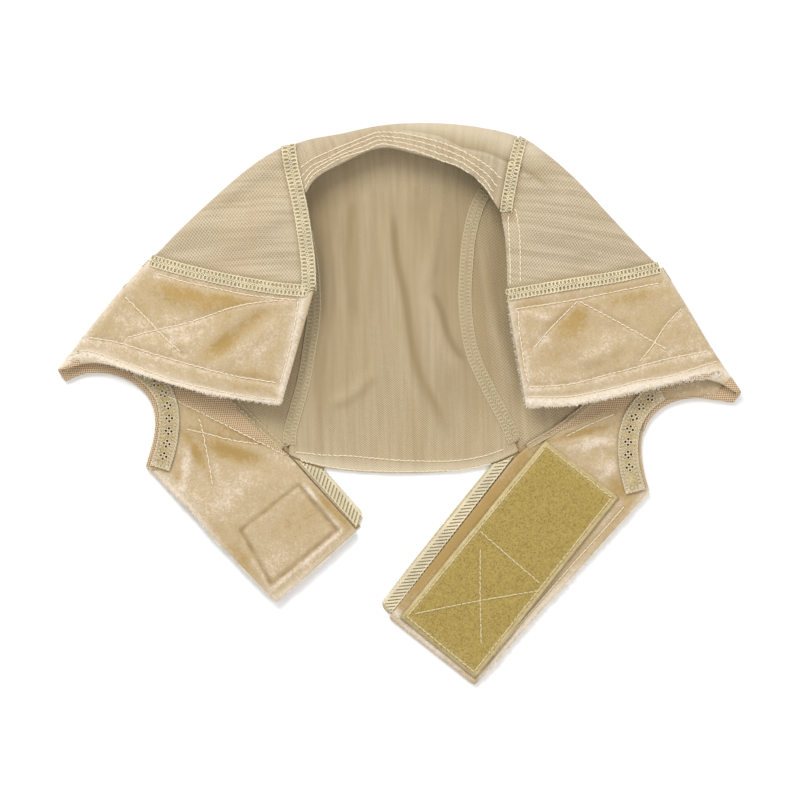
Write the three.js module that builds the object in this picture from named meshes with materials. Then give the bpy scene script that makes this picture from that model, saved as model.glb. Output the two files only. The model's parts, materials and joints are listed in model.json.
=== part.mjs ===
// A wig grip cap laid flat on its back, front side up, in millimetres.
// A stretch mesh dome in three panels is sewn to a velvet grip band on each side. Each band starts at
// the forehead, folds round the side of the cap, passes above the ear and ends in a nape strap.
// X runs across the cap, Y from the nape straps to the crown, Z up from the surface that it lies on.
import * as THREE from 'three';

// Dome, in plan
const halfWidth = 150; // middle to side fold, at the height of the tips
const crownRise = 123; // from the middle of the flat cap up to the crown fold

// Walls
const panelWall = 1;
const hemWall = 1.9;
const bandWall = 2.5;
const liningWall = 1;
const elasticWall = 1;
const padWall = 1.4;
const edgingWall = 1.4;

// Bands, trims and straps, in plan
const bandWidth = 50;
const strapWidth = 48;
const leftStrapLength = 45;
const rightStrapLength = 93;
const edgingWidth = 7;
const elasticWidth = 9;
const frontHemWidth = 7;
const napeHemWidth = 7.5;
const loopPadLength = 100;
const loopPadWidth = 40;
const hookPadLength = 28;
const hookPadWidth = 34;
const loopPadInset = 2.5; // from the strap's end
const hookPadInset = 3.5;

// Heights
const crownRoll = 6.5; // radius of the soft fold at the crown
const frontLoft = 12; // how far the front layer swells above its fold at the hem
const bandLoft = 6; // the same at the band's lower edge
const swellReach = 58; // plan distance from the fold over which the front layer swells
const foldRise = 5; // height of the main folds in the fabric
const foldSpread = 8; // half width of the main folds

// Clearances and eyelets
const gap = 0.3; // between pieces that touch
const seamGap = 0.8; // between panels that are sewn edge to edge
const eyeletRadius = 0.5;
const eyeletPitch = 5.6;
const eyeletSpread = 1.25; // from the middle of a group of four to each eyelet

// Corners of the cap in plan, as shares of halfWidth and crownRise
const corners = {
  left: {
    foldTop: { x: -0.726, y: 0.509 },
    crown: { x: -0.327, y: 0.918 },
    hem: { x: -0.274, y: 0.746 },
    patch: { x: -0.248, y: 0.401 },
    nape: { x: -0.327, y: -0.18 },
  },
  right: {
    foldTop: { x: 0.764, y: 0.484 },
    crown: { x: 0.348, y: 0.953 },
    hem: { x: 0.292, y: 0.688 },
    patch: { x: 0.312, y: 0.391 },
    nape: { x: 0.353, y: -0.168 },
  },
};

// Points between those corners, as the same shares, in the order in which a hand would draw them
const outline = {
  left: [{ x: -0.656, y: 0.599 }, { x: -0.562, y: 0.706 }, { x: -0.462, y: 0.812 }, { x: -0.386, y: 0.88 }],
  top: [
    { x: -0.263, y: 0.943 }, { x: -0.172, y: 0.961 }, { x: -0.081, y: 0.986 },
    { x: 0.019, y: 1 }, { x: 0.125, y: 1 }, { x: 0.236, y: 0.986 },
  ],
  right: [{ x: 0.427, y: 0.889 }, { x: 0.527, y: 0.781 }, { x: 0.609, y: 0.674 }, { x: 0.691, y: 0.57 }],
};
const frontSeam = {
  left: [{ x: -0.242, y: 0.487 }, { x: -0.248, y: 0.584 }, { x: -0.26, y: 0.674 }],
  right: [{ x: 0.309, y: 0.509 }, { x: 0.304, y: 0.6 }],
};
const backSeam = {
  left: [
    { x: -0.318, y: -0.075 }, { x: -0.283, y: 0.068 }, { x: -0.257, y: 0.229 },
    { x: -0.252, y: 0.409 }, { x: -0.263, y: 0.588 }, { x: -0.292, y: 0.767 },
  ],
  right: [
    { x: 0.312, y: -0.057 }, { x: 0.265, y: 0.057 }, { x: 0.216, y: 0.176 }, { x: 0.195, y: 0.301 },
    { x: 0.189, y: 0.427 }, { x: 0.201, y: 0.57 }, { x: 0.23, y: 0.713 }, { x: 0.285, y: 0.84 },
  ],
};
const frontHem = [
  { x: -0.251, y: 0.799 }, { x: -0.18, y: 0.846 }, { x: -0.098, y: 0.894 }, { x: -0.048, y: 0.912 },
  { x: 0.072, y: 0.878 }, { x: 0.166, y: 0.842 }, { x: 0.23, y: 0.796 },
];
const napeHem = [
  { x: -0.239, y: -0.222 }, { x: -0.131, y: -0.24 }, { x: 0.001, y: -0.247 },
  { x: 0.148, y: -0.24 }, { x: 0.265, y: -0.215 },
];
const bandTop = {
  left: [{ x: -0.365, y: 0.416 }, { x: -0.497, y: 0.448 }, { x: -0.615, y: 0.48 }],
  right: [{ x: 0.427, y: 0.405 }, { x: 0.559, y: 0.434 }, { x: 0.676, y: 0.462 }],
};
const bandBack = {
  left: [{ x: -0.65, y: 0.319 }, { x: -0.571, y: 0.14 }, { x: -0.468, y: -0.029 }],
  right: [{ x: 0.705, y: 0.265 }, { x: 0.617, y: 0.086 }, { x: 0.5, y: -0.057 }],
};

// What hangs on the corners: angles in degrees from +X, and widths as shares of the band or strap
const sides = {
  left: {
    sign: -1,
    patchEnd: { angle: -106, width: 1.03 }, // down the band's inner end, from the patch corner
    tip: { angle: -131, width: 1.23 }, // down the fold, from its top
    tipBack: { angle: -78, width: 0.094 }, // from there to the corner of the band's lower layer
    earEnd: { angle: -175, width: 1.3 }, // from the nape corner to the end of the ear curve
    strap: { angle: -47.8, length: leftStrapLength, squareness: 0.98 },
  },
  right: {
    sign: 1,
    patchEnd: { angle: -80, width: 1 },
    tip: { angle: -56.8, width: 1.27 },
    tipBack: { angle: -100, width: 0.088 },
    earEnd: { angle: -17, width: 1.24 },
    strap: { angle: -128.2, length: rightStrapLength, squareness: 1 },
  },
};

// Curves between two ends: how far along the chord, and how far off it as a share of the chord
const patchBottom = {
  left: [
    { along: 0.3, off: 0.003 }, { along: 0.48, off: -0.01 }, { along: 0.61, off: -0.03 },
    { along: 0.75, off: -0.052 }, { along: 0.88, off: -0.06 },
  ],
  right: [{ along: 0.21, off: -0.008 }, { along: 0.42, off: 0.02 }, { along: 0.68, off: 0.056 }, { along: 0.87, off: 0.08 }],
};
const foldLine = {
  left: [{ along: 0.3, off: -0.02 }, { along: 0.6, off: -0.015 }],
  right: [{ along: 0.3, off: 0 }, { along: 0.6, off: -0.01 }],
};
const earCurve = {
  left: [
    { along: 0.03, off: 0.11 }, { along: 0.1, off: 0.215 }, { along: 0.2, off: 0.3 }, { along: 0.34, off: 0.38 },
    { along: 0.5, off: 0.42 }, { along: 0.64, off: 0.405 }, { along: 0.76, off: 0.335 }, { along: 0.88, off: 0.2 },
  ],
  right: [
    { along: 0.1, off: -0.14 }, { along: 0.22, off: -0.28 }, { along: 0.36, off: -0.365 },
    { along: 0.49, off: -0.4 }, { along: 0.62, off: -0.39 }, { along: 0.74, off: -0.33 }, { along: 0.88, off: -0.19 },
  ],
};

// Main folds in the fabric: their lines as shares of the dome, their rise as a share of foldRise, and
// their widths on each side as shares of foldSpread, left of the line first
const frontFolds = [
  {
    line: [
      { x: -0.2, y: 0.925 }, { x: -0.05, y: 0.958 }, { x: 0.1, y: 0.925 }, { x: 0.31, y: 0.857 },
      { x: 0.46, y: 0.745 }, { x: 0.55, y: 0.65 },
    ],
    rise: 0.85, left: 0.3, right: 1.5,
  },
  { line: [{ x: -0.29, y: 0.7 }, { x: -0.44, y: 0.64 }, { x: -0.6, y: 0.575 }], rise: 0.4, left: 0.8, right: 0.9 },
  { line: [{ x: 0.33, y: 0.62 }, { x: 0.45, y: 0.6 }, { x: 0.6, y: 0.53 }], rise: 0.35, left: 0.8, right: 0.9 },
];
const backFolds = [
  {
    line: [{ x: 0.075, y: 0.62 }, { x: 0.075, y: 0.37 }, { x: 0.105, y: 0.12 }, { x: 0.14, y: -0.08 }],
    rise: 0.62, left: 0.55, right: 0.55,
  },
  { line: [{ x: -0.06, y: 0.7 }, { x: -0.03, y: 0.42 }, { x: -0.015, y: 0.15 }], rise: 0.35, left: 1, right: 0.8 },
  { line: [{ x: 0.13, y: 0.3 }, { x: 0.18, y: 0.12 }, { x: 0.23, y: 0 }], rise: 0.4, left: 0.6, right: 0.8 },
  { line: [{ x: -0.13, y: 0.28 }, { x: -0.16, y: 0.08 }, { x: -0.19, y: -0.1 }], rise: 0.35, left: 1, right: 0.9 },
];

// Fineness of the lofted walls
const sideColumns = 27;
const sideRows = 14;
const centreColumns = 17;
const centreRows = 34;
const bandRows = 8;
const bandFrontSteps = 10;
const bandFoldSteps = 7;
const bandEarSteps = 9;
const bandStrapSteps = 9;

const lerp = THREE.MathUtils.lerp;
const smooth = (value, low, high) => THREE.MathUtils.smoothstep(value, low, high);
const plan = (point) => new THREE.Vector2(point.x * halfWidth, point.y * crownRise);
const polar = (degrees, length) =>
  new THREE.Vector2(length, 0).rotateAround(new THREE.Vector2(), THREE.MathUtils.degToRad(degrees));

// A smooth plan curve through points, read by its share from 0 to 1
function curveThrough(points) {
  const curve = new THREE.CatmullRomCurve3(points.map((p) => new THREE.Vector3(p.x, p.y, 0)), false, 'centripetal');
  curve.arcLengthDivisions = 400;
  return (share) => {
    const p = curve.getPointAt(THREE.MathUtils.clamp(share, 0, 1));
    return new THREE.Vector2(p.x, p.y);
  };
}

// The length of a plan polyline
function lengthOf(points) {
  return points.reduce((sum, p, i) => sum + (i ? p.distanceTo(points[i - 1]) : 0), 0);
}

// A smooth plan curve from one point to another, bowed as a table says
function curveBetween(from, to, table) {
  const chord = to.clone().sub(from);
  const across = new THREE.Vector2(-chord.y, chord.x);
  const inner = table.map(({ along, off }) => from.clone().addScaledVector(chord, along).addScaledVector(across, off));
  return curveThrough([from, ...inner, to]);
}

function sample(curve, steps) {
  return Array.from({ length: steps + 1 }, (_, i) => curve(i / steps));
}

// Nearest point of a plan polyline: distance, signed distance (left of the line is positive) and share
function nearest(points, x, y) {
  let best = { distance: Infinity, signed: 0, share: 0 };
  for (let i = 0; i < points.length - 1; i += 1) {
    const dx = points[i + 1].x - points[i].x;
    const dy = points[i + 1].y - points[i].y;
    const px = x - points[i].x;
    const py = y - points[i].y;
    const t = THREE.MathUtils.clamp((px * dx + py * dy) / (dx * dx + dy * dy), 0, 1);
    const distance = Math.hypot(px - t * dx, py - t * dy);
    if (distance < best.distance) {
      const turn = Math.sign(dx * py - dy * px) || 1;
      best = { distance, signed: turn * distance, share: (i + t) / (points.length - 1) };
    }
  }
  return best;
}

// Places of one side's own corners
function landmarks(side) {
  const { patchEnd, tip, tipBack, earEnd, strap, sign } = sides[side];
  const foldTop = plan(corners[side].foldTop);
  const nape = plan(corners[side].nape);
  const patch = plan(corners[side].patch);
  const strapInner = nape.clone().add(polar(strap.angle, strap.length));
  const outward = polar(strap.angle + 90 * sign, strapWidth);
  const tipPoint = foldTop.clone().add(polar(tip.angle, bandWidth * tip.width));
  return {
    foldTop,
    nape,
    patch,
    patchLow: patch.clone().add(polar(patchEnd.angle, bandWidth * patchEnd.width)),
    tip: tipPoint,
    tipBack: tipPoint.clone().add(polar(tipBack.angle, bandWidth * tipBack.width)),
    earEnd: nape.clone().add(polar(earEnd.angle, strapWidth * earEnd.width)),
    strapInner,
    strapOuter: strapInner.clone().addScaledVector(outward, strap.squareness),
    crown: plan(corners[side].crown),
    hem: plan(corners[side].hem),
  };
}
const marks = { left: landmarks('left'), right: landmarks('right') };

// The fold all round the cap, from the left tip over the crown to the right tip
const foldCurves = {
  left: curveBetween(marks.left.foldTop, marks.left.tip, foldLine.left),
  right: curveBetween(marks.right.foldTop, marks.right.tip, foldLine.right),
};
const foldSteps = 12;
const domeSteps = 60;
const domeOutline = curveThrough([
  marks.left.foldTop, ...outline.left.map(plan), marks.left.crown, ...outline.top.map(plan),
  marks.right.crown, ...outline.right.map(plan), marks.right.foldTop,
]);
const foldPolyline = [
  ...sample(foldCurves.left, foldSteps).reverse(),
  ...sample(domeOutline, domeSteps).slice(1),
  ...sample(foldCurves.right, foldSteps).slice(1),
];

const domeLength = lengthOf(sample(domeOutline, domeSteps));
const edgeSteps = 24;
const upperEdges = {};
for (const side of ['left', 'right']) {
  const mark = marks[side];
  upperEdges[side] = {
    front: curveThrough([mark.patch, ...bandTop[side].map(plan), mark.foldTop]),
    back: curveThrough([mark.foldTop, ...bandBack[side].map(plan), mark.nape]),
  };
}

// Height of the front layer's middle where it leaves the fold
const insideFold = Math.max(liningWall, elasticWall) + 3 * gap;
const bandFoldHeight = bandWall + bandWall / 2 + insideFold;
const crownFoldHeight = panelWall / 2 + 2 * crownRoll;
function foldHeight(y) {
  const rise = smooth(y, marks.left.foldTop.y, marks.left.crown.y);
  return lerp(bandFoldHeight, crownFoldHeight, rise);
}
const foldRadius = (y, backMiddle) => (foldHeight(y) - backMiddle) / 2;

// Rise of the fabric's main folds at a plan point
function foldsAt(table, x, y) {
  let rise = 0;
  for (const { line, rise: share, left, right } of table) {
    const near = nearest(line, x, y);
    const spread = foldSpread * (near.signed > 0 ? left : right);
    const ends = Math.sqrt(Math.max(0, Math.sin(Math.PI * near.share)));
    rise += foldRise * share * ends * Math.exp(-((near.distance / spread) ** 2));
  }
  return rise;
}
const laidOut = (table) => table.map((fold) => ({ ...fold, line: sample(curveThrough(fold.line.map(plan)), 16) }));
const frontFoldLines = laidOut(frontFolds);
const backFoldLines = laidOut(backFolds);

// Middle of the front layer above the surface
function frontHeight(x, y) {
  const { distance } = nearest(foldPolyline, x, y);
  const inward = Math.max(0, distance - foldRadius(y, panelWall / 2));
  const swell = smooth(inward, 0, swellReach);
  const loft = lerp(bandLoft, frontLoft, smooth(y, marks.left.patchLow.y, marks.left.hem.y));
  const folds = foldsAt(frontFoldLines, x, y) * smooth(inward, 0, foldSpread);
  return foldHeight(y) + loft * swell + folds;
}

// Middle of the back layer's mesh above the surface, flat along its seams and its hem
function backHeight(x, y, edgeDistance) {
  return panelWall / 2 + foldsAt(backFoldLines, x, y) * smooth(edgeDistance, 0, foldSpread);
}

// Points of a soft fold, in the plane square to the fold line, from the front layer to the back one.
// The drift moves the back layer along, where its corner lies lower than the front layer's.
function foldArc(apex, outward, backMiddle, steps, drift = new THREE.Vector2()) {
  const radius = foldRadius(apex.y, backMiddle);
  const points = [];
  for (let i = 0; i <= steps; i += 1) {
    const angle = (Math.PI * i) / steps;
    const place = apex.clone().addScaledVector(outward, radius * (Math.sin(angle) - 1));
    place.addScaledVector(drift, i / steps);
    points.push(new THREE.Vector3(place.x, place.y, backMiddle + radius * (1 + Math.cos(angle))));
  }
  return points;
}

// Outward plan direction at a point of a curve that runs left to right over the cap
function outwardAt(curve, share, sense = 1) {
  const step = 0.01;
  const tangent = curve(share + step).sub(curve(share - step)).multiplyScalar(sense).normalize();
  return new THREE.Vector2(-tangent.y, tangent.x);
}

// Share of the dome outline that lies nearest to a plan point
function domeShare(point) {
  return nearest(sample(domeOutline, domeSteps * 8), point.x, point.y).share;
}

// A path of points read at even steps, with folds stepped more finely by their weight
function resample(path, count, foldWeight) {
  const reach = [0];
  for (let i = 1; i < path.length; i += 1) {
    const length = path[i].point.distanceTo(path[i - 1].point);
    reach.push(reach[i - 1] + length * (path[i].fold && path[i - 1].fold ? foldWeight : 1));
  }
  const total = reach[reach.length - 1];
  const points = [];
  let at = 0;
  for (let k = 0; k < count; k += 1) {
    const wanted = (total * k) / (count - 1);
    while (at < path.length - 2 && reach[at + 1] < wanted) at += 1;
    const share = THREE.MathUtils.clamp((wanted - reach[at]) / (reach[at + 1] - reach[at]), 0, 1);
    points.push(path[at].point.clone().lerp(path[at + 1].point, share));
  }
  return points;
}

// A closed wall around a grid of middle points, as thick at each point as wallAt says
function wall(grid, wallAt) {
  const rows = grid.length;
  const columns = grid[0].length;
  const faces = [[], []];
  for (let i = 0; i < rows; i += 1) {
    for (let j = 0; j < columns; j += 1) {
      const along = grid[Math.min(i + 1, rows - 1)][j].clone().sub(grid[Math.max(i - 1, 0)][j]);
      const across = grid[i][Math.min(j + 1, columns - 1)].clone().sub(grid[i][Math.max(j - 1, 0)]);
      const normal = along.cross(across).normalize();
      for (const [k, way] of [1, -1].entries()) {
        faces[k].push(grid[i][j].clone().addScaledVector(normal, (way * wallAt(i, j)) / 2));
      }
    }
  }
  const positions = faces.flat().flatMap((p) => [p.x, p.y, p.z]);
  const at = (face, i, j) => face * rows * columns + i * columns + j;
  const index = [];
  const quad = (a, b, c, d) => index.push(a, b, c, a, c, d);
  for (let i = 0; i < rows - 1; i += 1) {
    for (let j = 0; j < columns - 1; j += 1) {
      quad(at(0, i, j), at(0, i + 1, j), at(0, i + 1, j + 1), at(0, i, j + 1));
      quad(at(1, i, j), at(1, i, j + 1), at(1, i + 1, j + 1), at(1, i + 1, j));
    }
  }
  for (let i = 0; i < rows - 1; i += 1) {
    quad(at(0, i, 0), at(1, i, 0), at(1, i + 1, 0), at(0, i + 1, 0));
    quad(at(0, i + 1, columns - 1), at(1, i + 1, columns - 1), at(1, i, columns - 1), at(0, i, columns - 1));
  }
  for (let j = 0; j < columns - 1; j += 1) {
    quad(at(0, 0, j + 1), at(1, 0, j + 1), at(1, 0, j), at(0, 0, j));
    quad(at(0, rows - 1, j), at(1, rows - 1, j), at(1, rows - 1, j + 1), at(0, rows - 1, j + 1));
  }
  return facingOut(positions, index);
}

// Turns a closed mesh inside out where its volume comes out negative
function facingOut(positions, index) {
  let volume = 0;
  const corner3 = (i) => new THREE.Vector3().fromArray(positions, index[i] * 3);
  for (let i = 0; i < index.length; i += 3) {
    volume += corner3(i).dot(corner3(i + 1).cross(corner3(i + 2)));
  }
  if (volume < 0) index.reverse();
  const geometry = new THREE.BufferGeometry();
  geometry.setAttribute('position', new THREE.Float32BufferAttribute(positions, 3));
  geometry.setIndex(index);
  geometry.computeVertexNormals();
  return geometry;
}

const pathSteps = 30;
const arcSteps = 12;

// One side of the mesh dome, from its front seam round the side fold to its back seam
function sidePanel(side) {
  const { sign } = sides[side];
  const mark = marks[side];
  const shift = (point) => new THREE.Vector2(point.x + (sign * seamGap) / 2, point.y);
  const sewn = new THREE.Vector2(0, seamGap);
  const foldShare = domeShare(mark.foldTop) - (sign * seamGap) / domeLength;
  const crownShare = domeShare(mark.crown);
  const bandOutward = outwardAt(foldCurves[side], 0, sign);
  const outwardCrown = outwardAt(domeOutline, crownShare);
  const crownInset = mark.crown.clone().addScaledVector(outwardCrown, -foldRadius(mark.crown.y, panelWall / 2));
  const seam = curveThrough([mark.patch.clone().add(sewn), ...frontSeam[side].map(plan), mark.hem, crownInset].map(shift));
  const rear = curveThrough([mark.nape.clone().add(sewn), ...backSeam[side].map(plan), crownInset].map(shift));
  const lower = curveThrough(beside(sample(upperEdges[side].front, edgeSteps), sign * seamGap));
  const lowerBack = curveThrough(beside(sample(upperEdges[side].back, edgeSteps), -sign * seamGap));
  const grid = [];
  for (let i = 0; i < sideRows; i += 1) {
    const r = i / (sideRows - 1);
    const share = lerp(foldShare, crownShare, r);
    const apex = shift(domeOutline(share));
    const outward = bandOutward.clone().lerp(outwardAt(domeOutline, share), smooth(r, 0, 0.2)).normalize();
    const arc = foldArc(apex, outward, panelWall / 2, arcSteps);
    const inset = new THREE.Vector2(arc[0].x, arc[0].y);
    const path = [];
    for (let k = 0; k < pathSteps; k += 1) {
      const a = k / pathSteps;
      const bow = lower(a).sub(lower(0).lerp(lower(1), a)).multiplyScalar(1 - r);
      const place = seam(r).lerp(inset, a).add(bow);
      path.push({ point: new THREE.Vector3(place.x, place.y, frontHeight(place.x, place.y)), fold: false });
    }
    arc.forEach((point) => path.push({ point, fold: true }));
    for (let k = 1; k <= pathSteps; k += 1) {
      const b = k / pathSteps;
      const bow = lowerBack(b).sub(lowerBack(0).lerp(lowerBack(1), b)).multiplyScalar(1 - r);
      const place = inset.clone().lerp(rear(r), b).add(bow);
      path.push({ point: new THREE.Vector3(place.x, place.y, panelWall / 2), fold: false });
    }
    grid.push(resample(path, sideColumns, 3));
  }
  return wall(grid, () => panelWall);
}

// The mesh dome's middle: front hem, crown fold, and back down to the nape hem
function centrePanel() {
  const shift = (side) => (point) => new THREE.Vector2(point.x - (sides[side].sign * seamGap) / 2, point.y);
  const shares = { left: domeShare(marks.left.crown), right: domeShare(marks.right.crown) };
  const edges = {};
  for (const side of ['left', 'right']) {
    const mark = marks[side];
    const outward = outwardAt(domeOutline, shares[side]);
    const inset = mark.crown.clone().addScaledVector(outward, -foldRadius(mark.crown.y, panelWall / 2));
    edges[side] = {
      front: curveThrough([mark.hem, mark.hem.clone().lerp(inset, 0.5), inset].map(shift(side))),
      back: curveThrough([inset, ...backSeam[side].map(plan).reverse(), mark.nape].map(shift(side))),
    };
  }
  const hem = curveThrough([marks.left.hem, ...frontHem.map(plan), marks.right.hem]);
  const nape = curveThrough([marks.left.nape, ...napeHem.map(plan), marks.right.nape]);
  const bowed = (edge, q) => edge(q).sub(edge(0).lerp(edge(1), q));
  const grid = [];
  const gridWalls = [];
  for (let j = 0; j < centreColumns; j += 1) {
    const c = j / (centreColumns - 1);
    const inward = seamGap * (0.5 - c);
    const share = lerp(shares.left, shares.right, c);
    const apex = domeOutline(share);
    const arc = foldArc(apex, outwardAt(domeOutline, share), panelWall / 2, arcSteps);
    arc.forEach((point) => { point.x += inward; });
    const inset = new THREE.Vector2(arc[0].x, arc[0].y);
    const start = hem(c);
    start.x += inward;
    const end = nape(c);
    end.x += inward;
    const path = [];
    for (let k = 0; k < pathSteps; k += 1) {
      const q = k / pathSteps;
      const place = start.clone().lerp(inset, q)
        .addScaledVector(bowed(edges.left.front, q), 1 - c)
        .addScaledVector(bowed(edges.right.front, q), c);
      path.push({ point: new THREE.Vector3(place.x, place.y, frontHeight(place.x, place.y)), fold: false });
    }
    arc.forEach((point) => path.push({ point, fold: true }));
    for (let k = 1; k <= 2 * pathSteps; k += 1) {
      const q = k / (2 * pathSteps);
      const place = inset.clone().lerp(end, q)
        .addScaledVector(bowed(edges.left.back, q), 1 - c)
        .addScaledVector(bowed(edges.right.back, q), c);
      const edgeDistance = Math.min(
        Math.abs(place.x - edges.left.back(q).x), Math.abs(edges.right.back(q).x - place.x),
        place.distanceTo(end), place.distanceTo(inset),
      );
      path.push({ point: new THREE.Vector3(place.x, place.y, backHeight(place.x, place.y, edgeDistance)), fold: false });
    }
    const column = resample(path, centreRows, 1.6);
    const reach = column.map((_, k) => lengthOf(column.slice(0, k + 1)));
    const total = reach[centreRows - 1];
    const walls = reach.map((s) => (s < frontHemWidth || total - s < napeHemWidth ? hemWall : panelWall));
    column.forEach((point, k) => {
      if (total - reach[k] < napeHemWidth) point.z += (hemWall - panelWall) / 2;
    });
    grid.push(column);
    gridWalls.push(walls);
  }
  return wall(grid, (j, k) => gridWalls[j][k]);
}

// A velvet grip band: forehead patch, side fold, the stretch above the ear, and the nape strap
function gripBand(side) {
  const mark = marks[side];
  const { strap } = sides[side];
  const middle = bandWall / 2;
  const sense = side === 'left' ? -1 : 1;
  const lower = curveBetween(mark.patchLow, mark.tip, patchBottom[side]);
  const ear = curveBetween(mark.tipBack, mark.earEnd, earCurve[side]);
  const lowerCorner = mark.tipBack.clone().sub(mark.tip);
  const grid = [];
  for (let j = 0; j < bandRows; j += 1) {
    const v = j / (bandRows - 1);
    const apex = foldCurves[side](1 - v);
    const outward = outwardAt(foldCurves[side], 1 - v, sense);
    const arc = foldArc(apex, outward, middle, bandFoldSteps, lowerCorner.clone().multiplyScalar(1 - v));
    const inset = new THREE.Vector2(arc[0].x, arc[0].y);
    const pull = inset.clone().sub(apex);
    const row = [];
    for (let k = 0; k < bandFrontSteps; k += 1) {
      const a = k / bandFrontSteps;
      const place = lower(a).lerp(upperEdges[side].front(a), v).addScaledVector(pull, a);
      row.push(new THREE.Vector3(place.x, place.y, frontHeight(place.x, place.y)));
    }
    row.push(...arc);
    for (let k = 1; k <= bandEarSteps; k += 1) {
      const b = k / bandEarSteps;
      const place = ear(b).lerp(upperEdges[side].back(b), v).addScaledVector(pull, 1 - b);
      row.push(new THREE.Vector3(place.x, place.y, middle));
    }
    for (let k = 1; k <= bandStrapSteps; k += 1) {
      const t = k / bandStrapSteps;
      const outer = mark.earEnd.clone().lerp(mark.strapOuter, t);
      const place = outer.lerp(mark.nape.clone().lerp(mark.strapInner, t), v);
      row.push(new THREE.Vector3(place.x, place.y, middle + strapLift(side, t, strap.length)));
    }
    grid.push(row);
  }
  return wall(grid, () => bandWall);
}

// The left strap rests on the hook pad sewn under it
function strapLift(side, t, length) {
  if (side !== 'left') return 0;
  const padStart = 1 - (hookPadLength + hookPadInset) / length;
  return (padWall + gap) * smooth(t, padStart * 0.25, padStart * 0.7);
}

function extruded(points, height, base, holes = []) {
  const shape = new THREE.Shape(THREE.ShapeUtils.isClockWise(points) ? [...points].reverse() : points);
  shape.holes = holes.map((hole) => new THREE.Path(hole));
  const geometry = new THREE.ExtrudeGeometry(shape, { depth: height, bevelEnabled: false });
  geometry.translate(0, 0, base);
  return geometry;
}

// A plan curve moved sideways, left of its way of running
function beside(points, distance) {
  return points.map((point, i) => {
    const before = points[Math.max(i - 1, 0)];
    const after = points[Math.min(i + 1, points.length - 1)];
    const along = after.clone().sub(before).normalize();
    return point.clone().add(new THREE.Vector2(-along.y, along.x).multiplyScalar(distance));
  });
}

const trimBase = bandWall + gap;
const earSteps = 26;
const earShares = { tip: 0.13, elasticStart: 0.42, liningEnd: 0.62, end: 0.985 }; // along the ear curve
const liningBackShares = { left: { start: 0.05, end: 0.8 }, right: { start: 0.05, end: 0.74 } };
const trimMargin = 1.5; // from the band's cut edge to the elastic

// Points beside the ear curve, at a distance into the band
function besideEar(side, from, to, distance) {
  const mark = marks[side];
  const ear = curveBetween(mark.tipBack, mark.earEnd, earCurve[side]);
  const points = Array.from({ length: earSteps + 1 }, (_, i) => ear(lerp(from, to, i / earSteps)));
  return beside(points, -sides[side].sign * distance);
}

function earLength(side) {
  return lengthOf(besideEar(side, 0, 1, 0));
}

// The perforated elastic sewn along the ear curve, with its eyelets in groups of four
function earElastic(side) {
  const { elasticStart, end } = earShares;
  const edge = besideEar(side, elasticStart, end, trimMargin);
  const inner = besideEar(side, elasticStart, end, trimMargin + elasticWidth);
  const line = besideEar(side, elasticStart, end, trimMargin + elasticWidth / 2);
  const middle = curveThrough(line);
  const length = lengthOf(line);
  const groups = Math.floor(length / eyeletPitch) - 1;
  const holes = [];
  for (let g = 0; g < groups; g += 1) {
    const share = ((g + 1) * eyeletPitch) / length;
    const centre = middle(share);
    const along = middle(share + 0.01).sub(middle(share - 0.01));
    const turn = THREE.MathUtils.radToDeg(Math.atan2(along.y, along.x));
    for (let q = 0; q < 4; q += 1) {
      const place = polar(turn + 90 * q, eyeletSpread).add(centre);
      holes.push(Array.from({ length: 6 }, (_, k) => polar(-60 * k, eyeletRadius).add(place)));
    }
  }
  return extruded([...edge, ...inner.reverse()], elasticWall, trimBase, holes);
}

// The mesh lining on the band's inner face, from the side fold to above the ear
function earLining(side) {
  const { sign } = sides[side];
  const mark = marks[side];
  const clear = (bandFoldHeight - bandWall / 2) / 2 + gap;
  const { start, end } = liningBackShares[side];
  const back = Array.from({ length: 9 }, (_, i) => upperEdges[side].back(lerp(start, end, i / 8)));
  const lowerCorner = mark.tipBack.clone().sub(mark.tip);
  const fold = beside(sample(foldCurves[side], foldSteps), -sign * clear)
    .map((point, i) => point.addScaledVector(lowerCorner, i / foldSteps))
    .slice(1, foldSteps - 1);
  const { tip, elasticStart, liningEnd } = earShares;
  const beforeElastic = elasticStart - gap / earLength(side);
  const lower = besideEar(side, tip, beforeElastic, trimMargin);
  const trim = besideEar(side, beforeElastic, liningEnd, trimMargin + elasticWidth + gap);
  const outline = [...fold, ...lower, ...trim, ...beside(back, sign * gap).reverse()];
  return extruded(outline, liningWall, trimBase);
}

// The overlocked margin of the strap's lower layer: it follows the nape hem, then the strap's edge
function overlockedEdge(side) {
  const { sign, strap } = sides[side];
  const mark = marks[side];
  const along = polar(strap.angle, 1);
  const away = polar(strap.angle - 90 * sign, 1);
  const out = (point) => point.clone().sub(mark.nape).dot(away);
  const hem = sample(curveThrough([marks.left.nape, ...napeHem.map(plan), marks.right.nape]), 80);
  const fromHere = side === 'left' ? hem : hem.reverse();
  const under = fromHere.map((point) => new THREE.Vector2(point.x, point.y - 2 * gap));
  const top = under.filter((point) => out(point) > gap && out(point) < edgingWidth);
  const end = mark.strapInner.clone().addScaledVector(along, -bandWall / 2);
  return extruded([
    ...top,
    end.clone().addScaledVector(away, edgingWidth).addScaledVector(along, -edgingWidth * 0.4),
    end.clone().addScaledVector(away, edgingWidth * 0.8).addScaledVector(along, -edgingWidth * 0.1),
    end.clone().addScaledVector(away, gap),
  ], edgingWall, 0);
}

// A fastening pad on a strap: its length lies along the strap, and its base at the given height
function pad(side, length, width, inset, base) {
  const { strap, sign } = sides[side];
  const mark = marks[side];
  const middle = mark.strapInner.clone().lerp(mark.strapOuter, 0.5).add(polar(strap.angle, -inset));
  const across = polar(strap.angle + 90 * sign, width / 2);
  const back = polar(strap.angle, -length);
  const points = [
    middle.clone().add(across), middle.clone().sub(across),
    middle.clone().sub(across).add(back), middle.clone().add(across).add(back),
  ];
  return extruded(points, padWall, base);
}

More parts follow.
